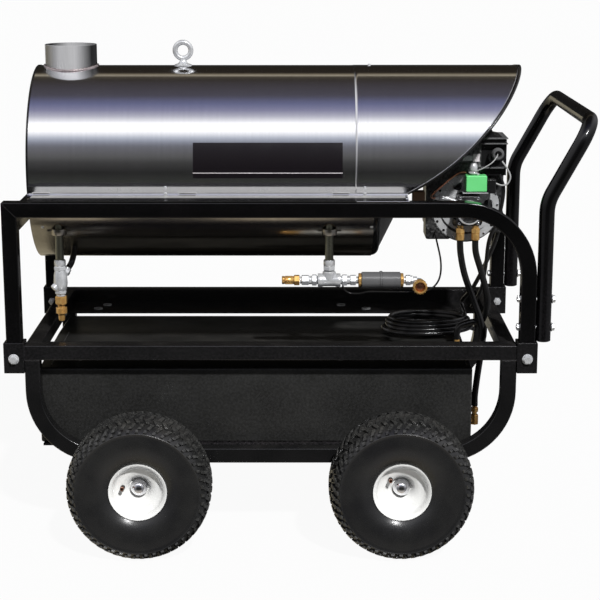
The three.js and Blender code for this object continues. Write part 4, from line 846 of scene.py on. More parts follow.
# ------------------------------------------------------------------ heater drum
def jacket_section(half, steps=72):
    """End view of half a jacket, outside face: flange, small bend, arc, bend, flange."""
    edge = FLANGE_Z + WALL if half > 0 else FLANGE_Z - 0.0003 - WALL
    lift = edge - DRUM_Z
    bend = 0.005
    sign = 1 if half > 0 else -1
    reach = math.sqrt((DRUM_RADIUS + bend) ** 2 - (lift + sign * bend) ** 2)
    centre_z = edge + sign * bend
    lean = math.degrees(math.atan2(centre_z - DRUM_Z, reach))
    left = [(-FLANGE_EDGE, edge), (-reach - 0.02, edge)]
    right = [(reach + 0.02, edge), (FLANGE_EDGE, edge)]
    start, end = (180 - lean, lean) if half > 0 else (180 - lean, 360 + lean)
    bend_left = arc((-reach, centre_z), bend, -90 * sign, -90 * sign + sign * (90 + sign * -lean), 5)
    bend_right = [(-y, z) for y, z in bend_left[::-1]]
    drum = arc((0, DRUM_Z), DRUM_RADIUS, start, end, steps)
    return left + bend_left + drum + bend_right + right


def mouth_x(z):
    return MOUTH_CENTRE[0] + math.sqrt(max(0.0, MOUTH_RADIUS**2 - (z - MOUTH_CENTRE[1]) ** 2))


def jacket(section, x_start, x_end, rows=24):
    """A sheet carried along X; x_end may be a function of height."""
    shape = Shape()
    verts = []
    for r in range(rows + 1):
        for y, z in section:
            end = x_end(z) if callable(x_end) else x_end
            verts.append((x_start + (end - x_start) * r / rows, y, z))
    return shape.add(verts, grid_faces(rows + 1, len(section), False, False))


def on_drum(x, z, lift=0.0, side=-1):
    """A point on the near flank of the drum at a height."""
    angle = math.asin(max(-1.0, min(1.0, (z - DRUM_Z) / DRUM_RADIUS)))
    radius = DRUM_RADIUS + lift
    return Vector((x, side * radius * math.cos(angle), DRUM_Z + radius * math.sin(angle)))


def mouth_band(start, end, lift):
    """A strip that follows the hood's slanting mouth, between two distances from its edge."""
    count = 120
    foot = math.asin((FLANGE_Z + 0.004 - DRUM_Z) / DRUM_RADIUS)
    radius = DRUM_RADIUS + lift
    verts = []
    for i in range(count + 1):
        angle = foot + (PI - 2 * foot) * i / count
        z = DRUM_Z + radius * math.sin(angle)
        verts += [(mouth_x(z) + d, -radius * math.cos(angle), z) for d in (start, end)]
    return Shape().add(verts, grid_faces(count + 1, 2, False, False))


SLOT_Z = DRUM_Z - 0.048
SLOT_LENGTH = 0.042
SLOT_HALF = 0.0013
SLOT_CENTRES = [-0.575, -0.208, 0.176]


def slot_cutter(x, side):
    spot = on_drum(x, SLOT_Z, 0, side)
    out = (spot - Vector((x, 0, DRUM_Z))).normalized()
    half = SLOT_LENGTH / 2 - SLOT_HALF
    section = [(half + SLOT_HALF * math.cos(a), SLOT_HALF * math.sin(a)) for a in
               [math.radians(-90 + 180 * i / 8) for i in range(9)]]
    section += [(-u, -v) for u, v in section]
    along, up = AXES["x"], AXES["x"].cross(out)
    shape = Shape()
    count = len(section)
    verts = [spot + out * d + along * u + up * v for d in (-0.01, 0.01) for u, v in section]
    faces = grid_faces(2, count, False, True) + [list(range(count))[::-1], [count + i for i in range(count)]]
    return shape.add(verts, faces)


def slot_rim(x, side):
    spot = on_drum(x, SLOT_Z, 0.0, side)
    out = (spot - Vector((x, 0, DRUM_Z))).normalized()
    half = SLOT_LENGTH / 2 - SLOT_HALF
    edge = SLOT_HALF + 0.0008
    ring = [(half + edge * math.cos(a), edge * math.sin(a)) for a in
            [math.radians(-90 + 180 * i / 8) for i in range(9)]]
    ring += [(-u, -v) for u, v in ring]
    up = AXES["x"].cross(out)
    return sweep([spot + AXES["x"] * u + up * v for u, v in ring], circle(0.001, 8), True)


def screw(spot, out, radius=0.0045):
    """A pan-head screw that stands out of a surface."""
    out = out.normalized()
    head = [(0, -0.002), (radius, -0.002), (radius, 0.0008), (radius * 0.86, 0.0022), (radius * 0.5, 0.003), (0, 0.0031)]
    return revolve(head, out, spot, 24)


def build_jacket():
    stack_hole = rod((STACK.x, 0, DRUM_Z + 0.1), (STACK.x, 0, DRUM_Z + 0.4), STACK_RADIUS + 0.0004, 64)
    slots = [slot_cutter(x, side) for x in SLOT_CENTRES for side in (-1, 1)]
    corners = [slab((DRUM_FRONT - 0.01, min(side * 0.262, side * 0.35), FLANGE_Z - 0.01),
                    (DRUM_FRONT + FLANGE_SETBACK, max(side * 0.262, side * 0.35), FLANGE_Z + 0.01))
               for side in (-1, 1)]
    upper = jacket(jacket_section(1), DRUM_FRONT, HOOD_FRONT + 0.004, 8)
    publish("jacket_upper", upper, "jacket", nodes=("upper_shell",), thick=WALL, cuts=[stack_hole, *slots, *corners])
    hood_section = [(y * (1 + 0.0005 / DRUM_RADIUS), z + (z - DRUM_Z) * 0.0005 / DRUM_RADIUS)
                    for y, z in jacket_section(1)]
    hood = jacket(hood_section, HOOD_FRONT - 0.003, mouth_x, 40)
    publish("jacket_hood", hood, "jacket", nodes=("burner_hood",), thick=WALL)
    lower = jacket(jacket_section(-1), DRUM_FRONT, DRUM_REAR - CORNER, 8)
    stubs = [rod((x, STUB_Y, DRUM_Z - 0.4), (x, STUB_Y, DRUM_Z - 0.05), 0.0135, 32)
             for x in (OUTLET_X, INLET_X)]
    publish("jacket_lower", lower, "under", nodes=("lower_shell",), thick=WALL, cuts=stubs + corners)
    collars = Shape()
    skin = DRUM_Z - math.sqrt(DRUM_RADIUS**2 - STUB_Y**2)
    for x in (OUTLET_X, INLET_X):
        ring = [(0.0115, skin - 0.012), (0.0185, skin - 0.012), (0.0195, skin - 0.01),
                (0.0195, skin + 0.004), (0.0115, skin + 0.004)]
        collars.merge(revolve(ring, "z", (x, STUB_Y, 0), 40),
                      slab((x - 0.03, STUB_Y - 0.004, skin - 0.003), (x + 0.03, STUB_Y + 0.02, skin)))
    publish("stub_collars", collars, "under", bevel=0.0005)

    publish("hood_edge_trim", mouth_band(-0.0085, 0.0016, 0.0014), "rubber", thick=0.0018)
    publish("hood_edge_line", mouth_band(-0.0105, -0.0084, 0.0016), "chrome", thick=0.0012)

    for place, side in SIDES.items():
        top = FLANGE_Z + WALL
        # The strip named painted, in the cage's gloss black, is a painted dark reflection on the flange's outer part.
        for name, look, near, far in (("bare", "flange", 0.256, FLANGE_BARE),
                                      ("painted", "gloss", FLANGE_BARE, FLANGE_EDGE - 0.0008)):
            y_low, y_high = sorted((side * near, side * far))
            skin = slab((DRUM_FRONT + FLANGE_SETBACK, y_low, top), (mouth_x(FLANGE_Z) - 0.004, y_high, top + 0.0007))
            publish("flange_" + name + "_" + place, skin, look)

    fixings = Shape()
    for x in (-0.263, 0.236):
        for side in (-1, 1):
            for z in (DRUM_Z - 0.034, DRUM_Z - 0.049):
                spot = on_drum(x, z, 0.001, side)
                fixings.merge(screw(spot, spot - Vector((x, 0, DRUM_Z))))
    crown = Vector((0.2535, 0, DRUM_Z + DRUM_RADIUS + 0.001))
    fixings.merge(screw(crown, AXES["z"], 0.004))
    for x in (DRUM_FRONT + 0.03, DRUM_REAR - 0.025):
        for side in (-1, 1):
            spot = on_drum(x, DRUM_Z - 0.14, 0.0, side)
            fixings.merge(screw(spot, spot - Vector((x, 0, DRUM_Z)), 0.0048))
    publish("jacket_screws", fixings, "zinc")
    rims = Shape().merge(*[slot_rim(x, side) for x in SLOT_CENTRES for side in (-1, 1)])
    publish("jacket_slot_rims", rims, "flange")


def build_drum_ends():
    outer = DRUM_RADIUS - 0.0022
    front = DRUM_FRONT + 0.003
    flue = [(0, front), (outer - 0.03, front), (outer - 0.026, front - 0.002), (outer - 0.004, front - 0.002),
            (outer, front), (outer, front + 0.014), (outer - 0.002, front + 0.014), (outer - 0.002, front + 0.003),
            (0, front + 0.003)]
    publish("flue_plate", revolve(flue, "x", (0, 0, DRUM_Z), 120), "under", nodes=("flue_end_plate",), sharp=25)
    ring = [(outer - 0.002, front - 0.003), (DRUM_RADIUS + 0.0012, front - 0.003), (DRUM_RADIUS + 0.0012, front + 0.002),
            (outer - 0.002, front + 0.002)]
    publish("flue_plate_ring", revolve(ring, "x", (0, 0, DRUM_Z), 120), "rubber", sharp=25)
    flat = high("burner_end_plate").x
    turn = arc((DRUM_REAR - CORNER, outer + 0.002 - CORNER), CORNER, 70, 0, 8)
    cone = [(0.052, flat), (0.150, flat), (0.157, flat - 0.001)]
    cone += [(r, x) for x, r in turn[::-1]]
    cone += [(outer + 0.002, DRUM_REAR - CORNER), (outer - 0.002, DRUM_REAR - CORNER - 0.006),
             (outer - CORNER, DRUM_REAR - 0.004), (0.155, flat - 0.003), (0.052, flat - 0.003)]
    plate = revolve(cone, "x", (0, 0, DRUM_Z), 120)
    publish("burner_plate", plate, "coat", nodes=("burner_end_plate",), sharp=25)
    rivets = Shape()
    for i in range(12):
        a = 2 * PI * (i + 0.5) / 12
        spot = Vector((DRUM_FRONT + 0.002, (outer - 0.014) * math.cos(a), DRUM_Z + (outer - 0.014) * math.sin(a)))
        rivets.merge(screw(spot, -AXES["x"], 0.004))
    publish("flue_plate_rivets", rivets, "zinc")


def build_stack():
    top = high("exhaust_stack").z
    base = low("exhaust_stack").z
    r = STACK_RADIUS
    profile = [(r - WALL, base), (r, base), (r, top - 0.0006), (r - 0.0007, top), (r - WALL, top - 0.0006)]
    tube = revolve(profile, "z", (STACK.x, 0, 0), 96)
    publish("flue_stack", tube, "stack", nodes=("exhaust_stack",))
    saddle = []
    for c, s in circle(r + 0.0015, 140):
        saddle.append((STACK.x + c, s, DRUM_Z + math.sqrt(DRUM_RADIUS**2 - s * s) + 0.0012))
    publish("stack_weld", bead(saddle, 0.0031, True, 0.14), "bead")
    seam = [(STACK.x - r * 0.94, -r * 0.34 - 0.0002, base + 0.04 + (top - base - 0.041) * i / 30) for i in range(31)]
    publish("stack_seam", bead(seam, 0.0009, False, 0.1), "stack")


def build_eye():
    centre = middle("lifting_eye")
    top = high("lifting_eye").z
    stock, ring = 0.0066, 0.0205
    eye_z = top - ring - stock
    base = DRUM_Z + DRUM_RADIUS
    x = centre.x
    loop = [(x + a, 0, eye_z + b) for a, b in circle(ring, 56)]
    shape = sweep(loop, circle(stock, 20), True)
    collar = [(0, base - 0.03), (0.0075, base - 0.03), (0.0075, base - 0.0005), (0.0235, base - 0.0005), (0.0235, base + 0.0008), (0.021, base + 0.0028),
              (0.0135, base + 0.0052), (0.0098, base + 0.009), (0.0078, eye_z - ring - 0.004),
              (0.0072, eye_z - ring + 0.002), (0, eye_z - ring + 0.002)]
    publish("eye_bolt", shape.merge(revolve(collar, "z", (x, 0, 0), 56)), "zinc", nodes=("lifting_eye",), sharp=50)


def build_plate():
    """A plain black plate on the drum's near flank, with one pale line near its foot."""
    x_low, x_high, z_low, z_high = -0.1935, 0.180, DRUM_Z - 0.0095, DRUM_Z + 0.078

    def patch(x0, x1, z0, z1, lift, steps=16):
        verts = []
        for level in (0.0, 1.0):
            for i in range(steps + 1):
                spot = on_drum(0, z0 + (z1 - z0) * i / steps)
                out = (spot - Vector((0, 0, DRUM_Z))).normalized()
                point = spot + out * (lift * level - 0.0002)
                verts += [(x0, point.y, point.z), (x1, point.y, point.z)]
        n = 2 * (steps + 1)
        faces = []
        for i in range(steps):
            a = 2 * i
            faces += [(a, a + 1, a + 3, a + 2), (n + a, n + a + 2, n + a + 3, n + a + 1),
                      (a, a + 2, n + a + 2, n + a), (a + 1, n + a + 1, n + a + 3, a + 3)]
        faces += [(0, n, n + 1, 1), (n - 2, n - 1, 2 * n - 1, 2 * n - 2)]
        return Shape().add(verts, faces)

    publish("flank_plate", patch(x_low, x_high, z_low, z_high, 0.0011), "plate", bevel=0.0003)
    line_z = z_low + 0.0125
    publish("flank_plate_line", patch(x_low, x_high, line_z, line_z + 0.0016, 0.0014), "stripe")


# ------------------------------------------------------------------ coil and fittings
INLET_X = 0.148
STUB_END = 0.7


def build_coil():
    pitch_end = INLET_X - 0.06
    turns = 8
    line = [Vector((OUTLET_X, STUB_Y, STUB_END)), Vector((OUTLET_X, STUB_Y, DRUM_Z - 0.02))]
    steps = 36
    for i in range(turns * steps + 1):
        a = 2 * PI * i / steps
        x = OUTLET_X + (pitch_end - OUTLET_X) * i / (turns * steps)
        line.append(Vector((x, -COIL_RADIUS * math.cos(a), DRUM_Z + COIL_RADIUS * math.sin(a))))
    for k in range(1, 13):
        a = PI * k / 12
        line.append(Vector((pitch_end + 0.03 * (1 - math.cos(a)), STUB_Y, DRUM_Z + 0.03 * math.sin(a))))
    line.append(Vector((INLET_X, STUB_Y, STUB_END)))
    publish("heater_coil", sweep(line, circle(PIPE, 24)), "pipe", nodes=("heating_coil",), sharp=50)


def build_outlet():
    at = lambda z: Vector((OUTLET_X, STUB_Y, z))
    branch = Vector((0.026, 0.03, 0.034)).normalized()
    joint = at(0.652)
    tip = joint + branch * 0.034
    boss = Vector((-0.6, -0.35, -0.55)).normalized()
    shape = Shape().merge(
        revolve([(0, 0.684), (0.0132, 0.684), (0.0146, 0.687), (0.0146, 0.6975), (0.0132, 0.7005), (0, 0.7005)], "z", at(0), 40),
        hexagon(at(0.684), at(0.673), 0.0285),
        revolve([(0, 0.606), (0.0118, 0.606), (0.0118, 0.618), (0.0155, 0.622), (0.0178, 0.640), (0.0165, 0.662),
                 (0.0137, 0.674), (0, 0.674)], "z", at(0), 40),
        rod(joint, tip, 0.0108, 32, 0.001),
        hexagon(joint + branch * 0.018, joint + branch * 0.028, 0.0225),
        rod(at(0.642), at(0.642) + boss * 0.026, 0.0098, 32, 0.0015),
        hexagon(at(0.622), at(0.612), 0.0275),
    )
    publish("outlet_street_fitting", shape, "zinc", nodes=("outlet_fitting",), bevel=0.0005, sharp=40)
    brass = Shape().merge(
        hexagon(at(0.6055), at(0.5855), 0.028),
        revolve([(0.006, 0.584), (0.0094, 0.5845), (0.0094, 0.557), (0.0084, 0.556), (0.0084, 0.546), (0.0072, 0.541),
                 (0.006, 0.541)], "z", at(0), 40),
        rod(at(0.5858), at(0.5835), 0.0132, 36),
    )
    publish("outlet_brass_coupler", brass, "brass", nodes=("outlet_coupler",), bevel=0.0005, sharp=40)
    r_in, r_out = 0.010, 0.0141
    low_z, high_z = low("coupler_sleeve").z, high("coupler_sleeve").z
    span = high_z - low_z
    ribs = [(r_in, low_z), (r_out - 0.0008, low_z), (r_out, low_z + 0.001)]
    for i in range(5):
        z = low_z + span * (0.18 + 0.16 * i)
        ribs += [(r_out, z - 0.0006), (r_out - 0.0007, z), (r_out, z + 0.0006)]
    ribs += [(r_out, high_z - 0.001), (r_out - 0.0008, high_z), (r_in, high_z)]
    publish("coupler_grip_sleeve", revolve(ribs, "z", at(0), 48), "brass", "coupler_sleeve", ("coupler_sleeve",))
    steps = [(0.01, 0.01, 0.018), (0.014, 0.03, 0.045), (0.014, 0.07, 0.1), (0.01, 0.12, 0.18)]
    return [tip - branch * 0.004, tip + branch * 0.008, *[tip + Vector(step) for step in steps]]


def build_inlet():
    at = lambda x: Vector((x, STUB_Y, TEE_Z))
    up = lambda z: Vector((INLET_X, STUB_Y, z))
    tee = Shape().merge(
        revolve([(0, 0.684), (0.0132, 0.684), (0.0146, 0.687), (0.0146, 0.6975), (0.0132, 0.7005), (0, 0.7005)], "z",
                (INLET_X, STUB_Y, 0), 40),
        hexagon(up(0.684), up(0.674), 0.0285),
        rod(up(0.671), up(TEE_Z), 0.0168, 40, 0.003),
        revolve([(0, -0.029), (0.0165, -0.029), (0.0172, -0.027), (0.0172, -0.018), (0.0158, -0.015), (0.0158, 0.015),
                 (0.0172, 0.018), (0.0172, 0.027), (0.0165, 0.029), (0, 0.029)], "x", at(INLET_X), 40),
        rod(at(0.0732), at(0.2225), 0.0092, 32),
        thread(at(0.1155), at(0.1205), 0.0112),
        hexagon(at(0.104), at(0.116), 0.026),
        rod(at(0.096), at(0.104), 0.0108, 32),
        hexagon(at(0.0775), at(0.096), 0.0235),
        thread(at(0.1765), at(0.1815), 0.0112),
        hexagon(at(0.1815), at(0.194), 0.026),
        rod(at(0.194), at(0.202), 0.0112, 32),
        hexagon(at(0.202), at(0.2165), 0.0245),
    )
    publish("inlet_run_tee", tee, "zinc", nodes=("inlet_tee",), bevel=0.0005, sharp=40)
    start = low("relief_valve").x
    flutes = Shape().merge(
        revolve([(0.0062, start), (0.0098, start), (0.0104, start + 0.001), (0.0104, start + 0.006), (0.0096, start + 0.007),
                 (0.0096, start + 0.028), (0.0106, start + 0.029), (0.0106, start + 0.031), (0.0062, start + 0.031)],
                "x", (0, STUB_Y, TEE_Z), 36),
        rod(at(start + 0.008), at(start + 0.033), 0.0072, 28),
        hexagon(at(start + 0.031), at(start + 0.0452), 0.0245),
    )
    for i in range(6):
        a = 2 * PI * i / 6
        offset = Vector((0, 0.0092 * math.cos(a), 0.0092 * math.sin(a)))
        flutes.merge(rod(at(start + 0.008) + offset, at(start + 0.028) + offset, 0.0022, 10))
    publish("relief_valve_body", flutes, "brass", nodes=("relief_valve",), bevel=0.0004, sharp=40)

    x0, x1, radius = low("flow_switch").x, high("flow_switch").x, 0.0212
    mid = (x0 + x1) / 2
    body = [(0.009, x0 + 0.0075), (radius - 0.002, x0 + 0.0075), (radius, x0 + 0.0095), (radius, mid - 0.004),
            (radius - 0.0012, mid - 0.0035), (radius - 0.0012, mid - 0.002), (radius + 0.0008, mid - 0.0015),
            (radius + 0.0008, mid + 0.0015), (radius - 0.0012, mid + 0.002), (radius - 0.0012, mid + 0.0035),
            (radius, mid + 0.004), (radius, x1 - 0.0095), (radius - 0.002, x1 - 0.0075), (0.009, x1 - 0.0075)]
    switch = revolve(body, "x", (0, STUB_Y, TEE_Z), 60)
    knob = Vector((mid, STUB_Y, TEE_Z + radius))
    switch.merge(rod(knob - AXES["z"] * 0.002, knob + AXES["z"] * 0.0022, 0.004, 20))
    publish("flow_switch_body", switch, "switch", nodes=("flow_switch",), sharp=30)
    collars = Shape()
    for end, sign in ((x0, 1), (x1, -1)):
        span = sorted((end, end + sign * 0.0078))
        profile = [(0.009, span[0]), (0.0172, span[0]), (0.018, span[0] + 0.001), (0.018, span[1] - 0.001), (0.0172, span[1]),
                   (0.009, span[1])]
        collars.merge(revolve(profile, "x", (0, STUB_Y, TEE_Z), 48))
    publish("flow_switch_collars", collars, "brass")

    swivel = middle("inlet_swivel")
    mouth = lambda y: Vector((swivel.x, STUB_Y + y, swivel.z))
    elbow = Shape().merge(
        rod(at(x1 + 0.0005), at(swivel.x - 0.006), 0.0092, 32),
        hexagon(at(x1 + 0.006), at(x1 + 0.019), 0.0245),
        rod(mouth(0.017), mouth(-0.014), 0.0138, 36, 0.003),
        rod(mouth(-0.013), mouth(-0.0258), 0.0098, 32),
        hexagon(at(x1 + 0.019), at(x1 + 0.0245), 0.021),
    )
    publish("inlet_street_elbow", elbow, "zinc", nodes=("inlet_elbow",), bevel=0.0005, sharp=40)
    far_y, near_y = high("inlet_swivel").y, low("inlet_swivel").y
    r = (high("inlet_swivel").x - low("inlet_swivel").x) / 2
    depth = far_y - near_y
    ring = [(0.0106, 0), (r - 0.002, 0), (r, 0.002), (r, depth * 0.3), (r - 0.0012, depth * 0.34), (r - 0.0012, depth * 0.42),
            (r, depth * 0.46), (r, depth - 0.002), (r - 0.0018, depth), (0.0135, depth), (0.0125, depth - 0.002),
            (0.0125, depth * 0.45), (0.0106, depth * 0.42)]
    nut = revolve(ring, -AXES["y"], (swivel.x, far_y, swivel.z), 48)
    for i in range(16):
        a = 2 * PI * i / 16
        spot = Vector((swivel.x + r * math.cos(a), far_y - depth * 0.5, swivel.z + r * math.sin(a)))
        nut.merge(rod(spot, spot - AXES["y"] * depth * 0.42, 0.0016, 8))
    publish("swivel_nut", nut, "brass", "inlet_swivel", ("inlet_swivel",), sharp=40)
    screen = revolve([(0, 0), (0.0122, 0), (0.0122, 0.002), (0.006, 0.004), (0, 0.0045)], -AXES["y"],
                     (swivel.x, near_y + depth * 0.42, swivel.z), 32)
    publish("swivel_screen", screen, "copper", "inlet_swivel")


def build_tank_fitting():
    tank_x = high("fuel_tank").x
    x = tank_x + 0.022
    y = middle("tank_fitting").y
    z = 0.262
    top = high("tank_fitting").z
    shape = Shape().merge(
        rod((tank_x - 0.004, y, z), (x, y, z), 0.0076, 28),
        hexagon((tank_x + 0.0004, y, z), (tank_x + 0.009, y, z), 0.021),
        hexagon((x, y, z - 0.012), (x, y, z + 0.014), 0.0195),
        rod((x, y, z + 0.013), (x, y, top - 0.012), 0.0068, 28),
        hexagon((x, y, top - 0.016), (x, y, top - 0.004), 0.0185),
        rod((x, y, top - 0.005), (x, y, top), 0.0062, 24),
    )
    publish("tank_outlet_elbow", shape, "brass", nodes=("tank_fitting",), bevel=0.0004, sharp=40)


# ------------------------------------------------------------------ burner
BURNER_FACE = low("blower_housing").y
PUMP = middle("fuel_pump")
PUMP_PORTS = [(0.491, -0.098), (0.531, -0.098)]
PORT_Z = 0.7495
INLET_Z = 0.811  # middle of the bright plate behind the air shutter


def build_burner():
    looks = {
        "blower_housing": "cast", "burner_motor": "cast", "blast_tube": "cast", "igniter": "cast",
        "control_box": "plastic", "reset_button": "red", "nozzle_assembly": "brass",
        "combustion_chamber": "ceramic", "blower_wheel": "zinc", "air_shutter": "zinc",
        "flow_piston": "brass", "front_axle": "zinc", "rear_axle": "zinc",
    }
    for node, look in looks.items():
        dress(node, look)
    foot = slab((0.404, BURNER_FACE + 0.002, 0.726), (0.47, 0.03, 0.762))
    publish("blower_foot", foot, "cast", bevel=0.006)
    back = slab((0.572, -0.02, 0.735), (0.611, 0.05, 0.9))
    publish("burner_rear_cover", back, "cast", bevel=0.008)
    build_inlet_plate()
    build_pump()
    build_solenoid()
    build_controls()


def build_inlet_plate():
    """The bright plate behind the air shutter, with its rim and screws, and thin black discs of painted shade where
    its ports open.
    """
    centre = Vector((FAN.x, BURNER_FACE - 0.0002, INLET_Z))
    disc = [(0.07, 0), (0.087, 0), (0.088, 0.0008), (0.087, 0.0016), (0.07, 0.0016)]
    publish("blower_inlet_plate", revolve(disc, -AXES["y"], centre, 96), "zinc")
    edge = [(0.0875, -0.003), (0.0905, -0.003), (0.0905, 0.001), (0.0875, 0.001)]
    publish("blower_inlet_rim", revolve(edge, -AXES["y"], centre, 96), "cast")
    ports, screws = Shape(), Shape()
    face = centre - AXES["y"] * 0.0016
    for i in range(18):
        angle = 2 * PI * (i + 0.3) / 18
        out = Vector((math.cos(angle), 0, math.sin(angle)))
        # Thin black discs: painted shade where the plate's ports open.
        if i % 3:
            spot = face + out * 0.0822
            ports.merge(rod(spot, spot - AXES["y"] * 0.0006, 0.0036, 20, 0.0001))
        else:
            screws.merge(screw(face + out * 0.0825, -AXES["y"], 0.0032))
    publish("blower_inlet_port_shade", ports, "plastic")
    publish("blower_inlet_screws", screws, "chrome")


def build_pump():
    """The fuel pump: a cast block behind a chromed cover, with two brass ports below."""
    x, z = PUMP.x, 0.807
    back = BURNER_FACE - 0.0118
    body = slab((x - 0.03, -0.108, 0.77), (x + 0.03, back, 0.85))
    publish("pump_block", body, "cast", nodes=("fuel_pump",), bevel=0.005)
    front = Vector((x, -0.106, z))
    cover = [(0.02, 0), (0.0305, 0), (0.0318, 0.002), (0.0318, 0.014), (0.030, 0.018),
             (0.026, 0.0195), (0.02, 0.0195)]
    publish("pump_cover", revolve(cover, -AXES["y"], front, 64), "zinc")
    dome = [(0, 0.001), (0.0262, 0.001), (0.0262, 0.0195), (0.018, 0.0215), (0, 0.022)]
    publish("pump_cover_face", revolve(dome, -AXES["y"], front, 48), "cast")
    ports, bolts = Shape(), Shape()
    for px, py in PUMP_PORTS:
        ports.merge(hexagon((px, py, PORT_Z + 0.0004), (px, py, PORT_Z + 0.014), 0.0215),
                    rod((px, py, PORT_Z + 0.013), (px, py, PORT_Z + 0.026), 0.0085),
                    rod((px, py, PORT_Z - 0.017), (px, py, PORT_Z), 0.0112))
    for dx, dz in ((-0.024, 0.036), (0.024, 0.036), (-0.024, -0.03), (0.024, -0.03)):
        bolts.merge(screw(Vector((x + dx, -0.108, z + dz)), -AXES["y"], 0.0042))
    publish("pump_brass_ports", ports, "brass", bevel=0.0004)
    publish("pump_block_screws", bolts, "chrome")
    union = Shape().merge(rod((0.424, -0.1, 0.844), (0.46, -0.1, 0.842), 0.0055),
                          hexagon((0.434, -0.1, 0.8435), (0.447, -0.1, 0.8428), 0.0165),
                          rod((0.458, -0.1, 0.842), (0.49, -0.1, 0.83), 0.004))
    publish("pump_oil_union", union, "zinc")
    pipe = [(0.503, -0.1, 0.911), (0.486, -0.101, 0.909), (0.464, -0.107, 0.896), (0.44, -0.118, 0.878),
            (0.420, -0.126, 0.862), (0.413, -0.118, 0.851), (0.418, -0.105, 0.844), (0.426, -0.1, 0.844)]
    publish("oil_pipe", hose(pipe, 0.0024, 12), "copper")


def build_solenoid():
    lowest, highest = low("solenoid_valve"), high("solenoid_valve")
    x, y = middle("solenoid_valve").x, middle("solenoid_valve").y
    top = lowest.z + 0.047
    coil = slab((lowest.x, lowest.y, lowest.z + 0.005), (highest.x, highest.y, top))
    publish("solenoid_coil", coil, "green", nodes=("solenoid_valve",), bevel=0.003)
    stem = Shape().merge(rod((x - 0.007, y, top), (x - 0.007, y, top + 0.008), 0.0065),
                         hexagon((x - 0.007, y, top + 0.003), (x - 0.007, y, top + 0.007), 0.02),
                         rod((x + 0.004, y - 0.004, top), (x + 0.004, y - 0.004, top + 0.005), 0.004),
                         slab((lowest.x - 0.008, y - 0.016, lowest.z + 0.0005),
                              (highest.x + 0.004, y + 0.016, lowest.z + 0.003)))
    publish("solenoid_hardware", stem, "zinc", bevel=0.0004)
    nut = [(0, top + 0.012), (0.0105, top + 0.012), (0.0115, top + 0.015), (0.0105, top + 0.025),
           (0.007, top + 0.03), (0, top + 0.031)]
    publish("solenoid_nut", revolve(nut, "z", (x - 0.007, y + 0.004, 0), 32), "zinc")
    plug = slab((highest.x + 0.0002, y - 0.014, lowest.z), (highest.x + 0.024, y + 0.014, lowest.z + 0.037))
    publish("solenoid_plug", plug, "plastic", bevel=0.003)


def build_controls():
    """Ribs, boot, leads and small plates on and under the control box."""
    lowest, highest = low("control_box"), high("control_box")
    ribs = Shape()
    for rise, proud in ((0.0965, 0.0016), (0.083, 0.0012), (0.02, 0.0012)):
        z = lowest.z + rise
        ribs.merge(slab((lowest.x - proud, lowest.y - proud, z), (highest.x + proud, highest.y + proud, z + 0.0028)))
    publish("control_box_ribs", ribs, "switch", bevel=0.0006)
    boot = Vector((0.586, lowest.y, 0.955))
    cuff = [(0.007, 0), (0.0165, 0), (0.0165, 0.005), (0.0145, 0.008), (0.0125, 0.0125), (0.0095, 0.0125),
            (0.007, 0.006)]
    publish("control_box_boot", revolve(cuff, -AXES["y"], boot, 40), "switch")
    lead = [boot - AXES["y"] * 0.002, (0.582, -0.094, 0.95), (0.570, -0.104, 0.937), (0.550, -0.106, 0.924),
            (0.528, -0.104, 0.914), (0.51, -0.1, 0.91)]
    publish("boot_lead", hose(lead, 0.0015, 10), "lead")
    loop = [(0.598, -0.079, 0.936), (0.611, -0.086, 0.918), (0.619, -0.09, 0.897), (0.612, -0.09, 0.879),
            (0.597, -0.09, 0.875), (0.581, -0.088, 0.88)]
    publish("control_lead_loop", hose(loop, 0.0022, 10), "lead")
    cable = [(0.592, -0.07, 0.9), (0.604, -0.075, 0.86), (0.596, -0.06, 0.79), (0.574, -0.04, 0.72),
             (0.568, -0.03, 0.65), (0.557, -0.03, 0.585), (0.535, -0.01, 0.532)]
    publish("control_cable", hose(cable, 0.0052), "rubber")
    plates = Shape().merge(slab((0.524, BURNER_FACE - 0.002, 0.933), (0.541, BURNER_FACE - 0.0004, 0.953)))
    publish("housing_white_plate", plates, "stripe", bevel=0.0003)
    bracket = slab((0.497, BURNER_FACE - 0.003, 0.935), (0.523, BURNER_FACE - 0.0004, 0.949))
    publish("housing_bracket", bracket, "zinc", bevel=0.0004)
    publish("tan_terminal", slab((0.362, -0.15, 0.83), (0.394, -0.12, 0.868)), "tan", bevel=0.003)
    thin = [(0.43, -0.055, 0.752), (0.429, -0.09, 0.737), (0.438, -0.145, 0.684), (0.431, -0.182, 0.645),
            (0.405, -0.2, 0.622), (0.36, -0.205, 0.617), (0.3, -0.206, 0.617), (0.25, -0.204, 0.617),
            (0.225, -0.202, 0.612), (0.2, -0.2, 0.613), (0.186, -0.2, 0.623), (0.182, -0.2, 0.64)]
    publish("switch_lead", hose(thin, 0.0024, 10), "rubber")


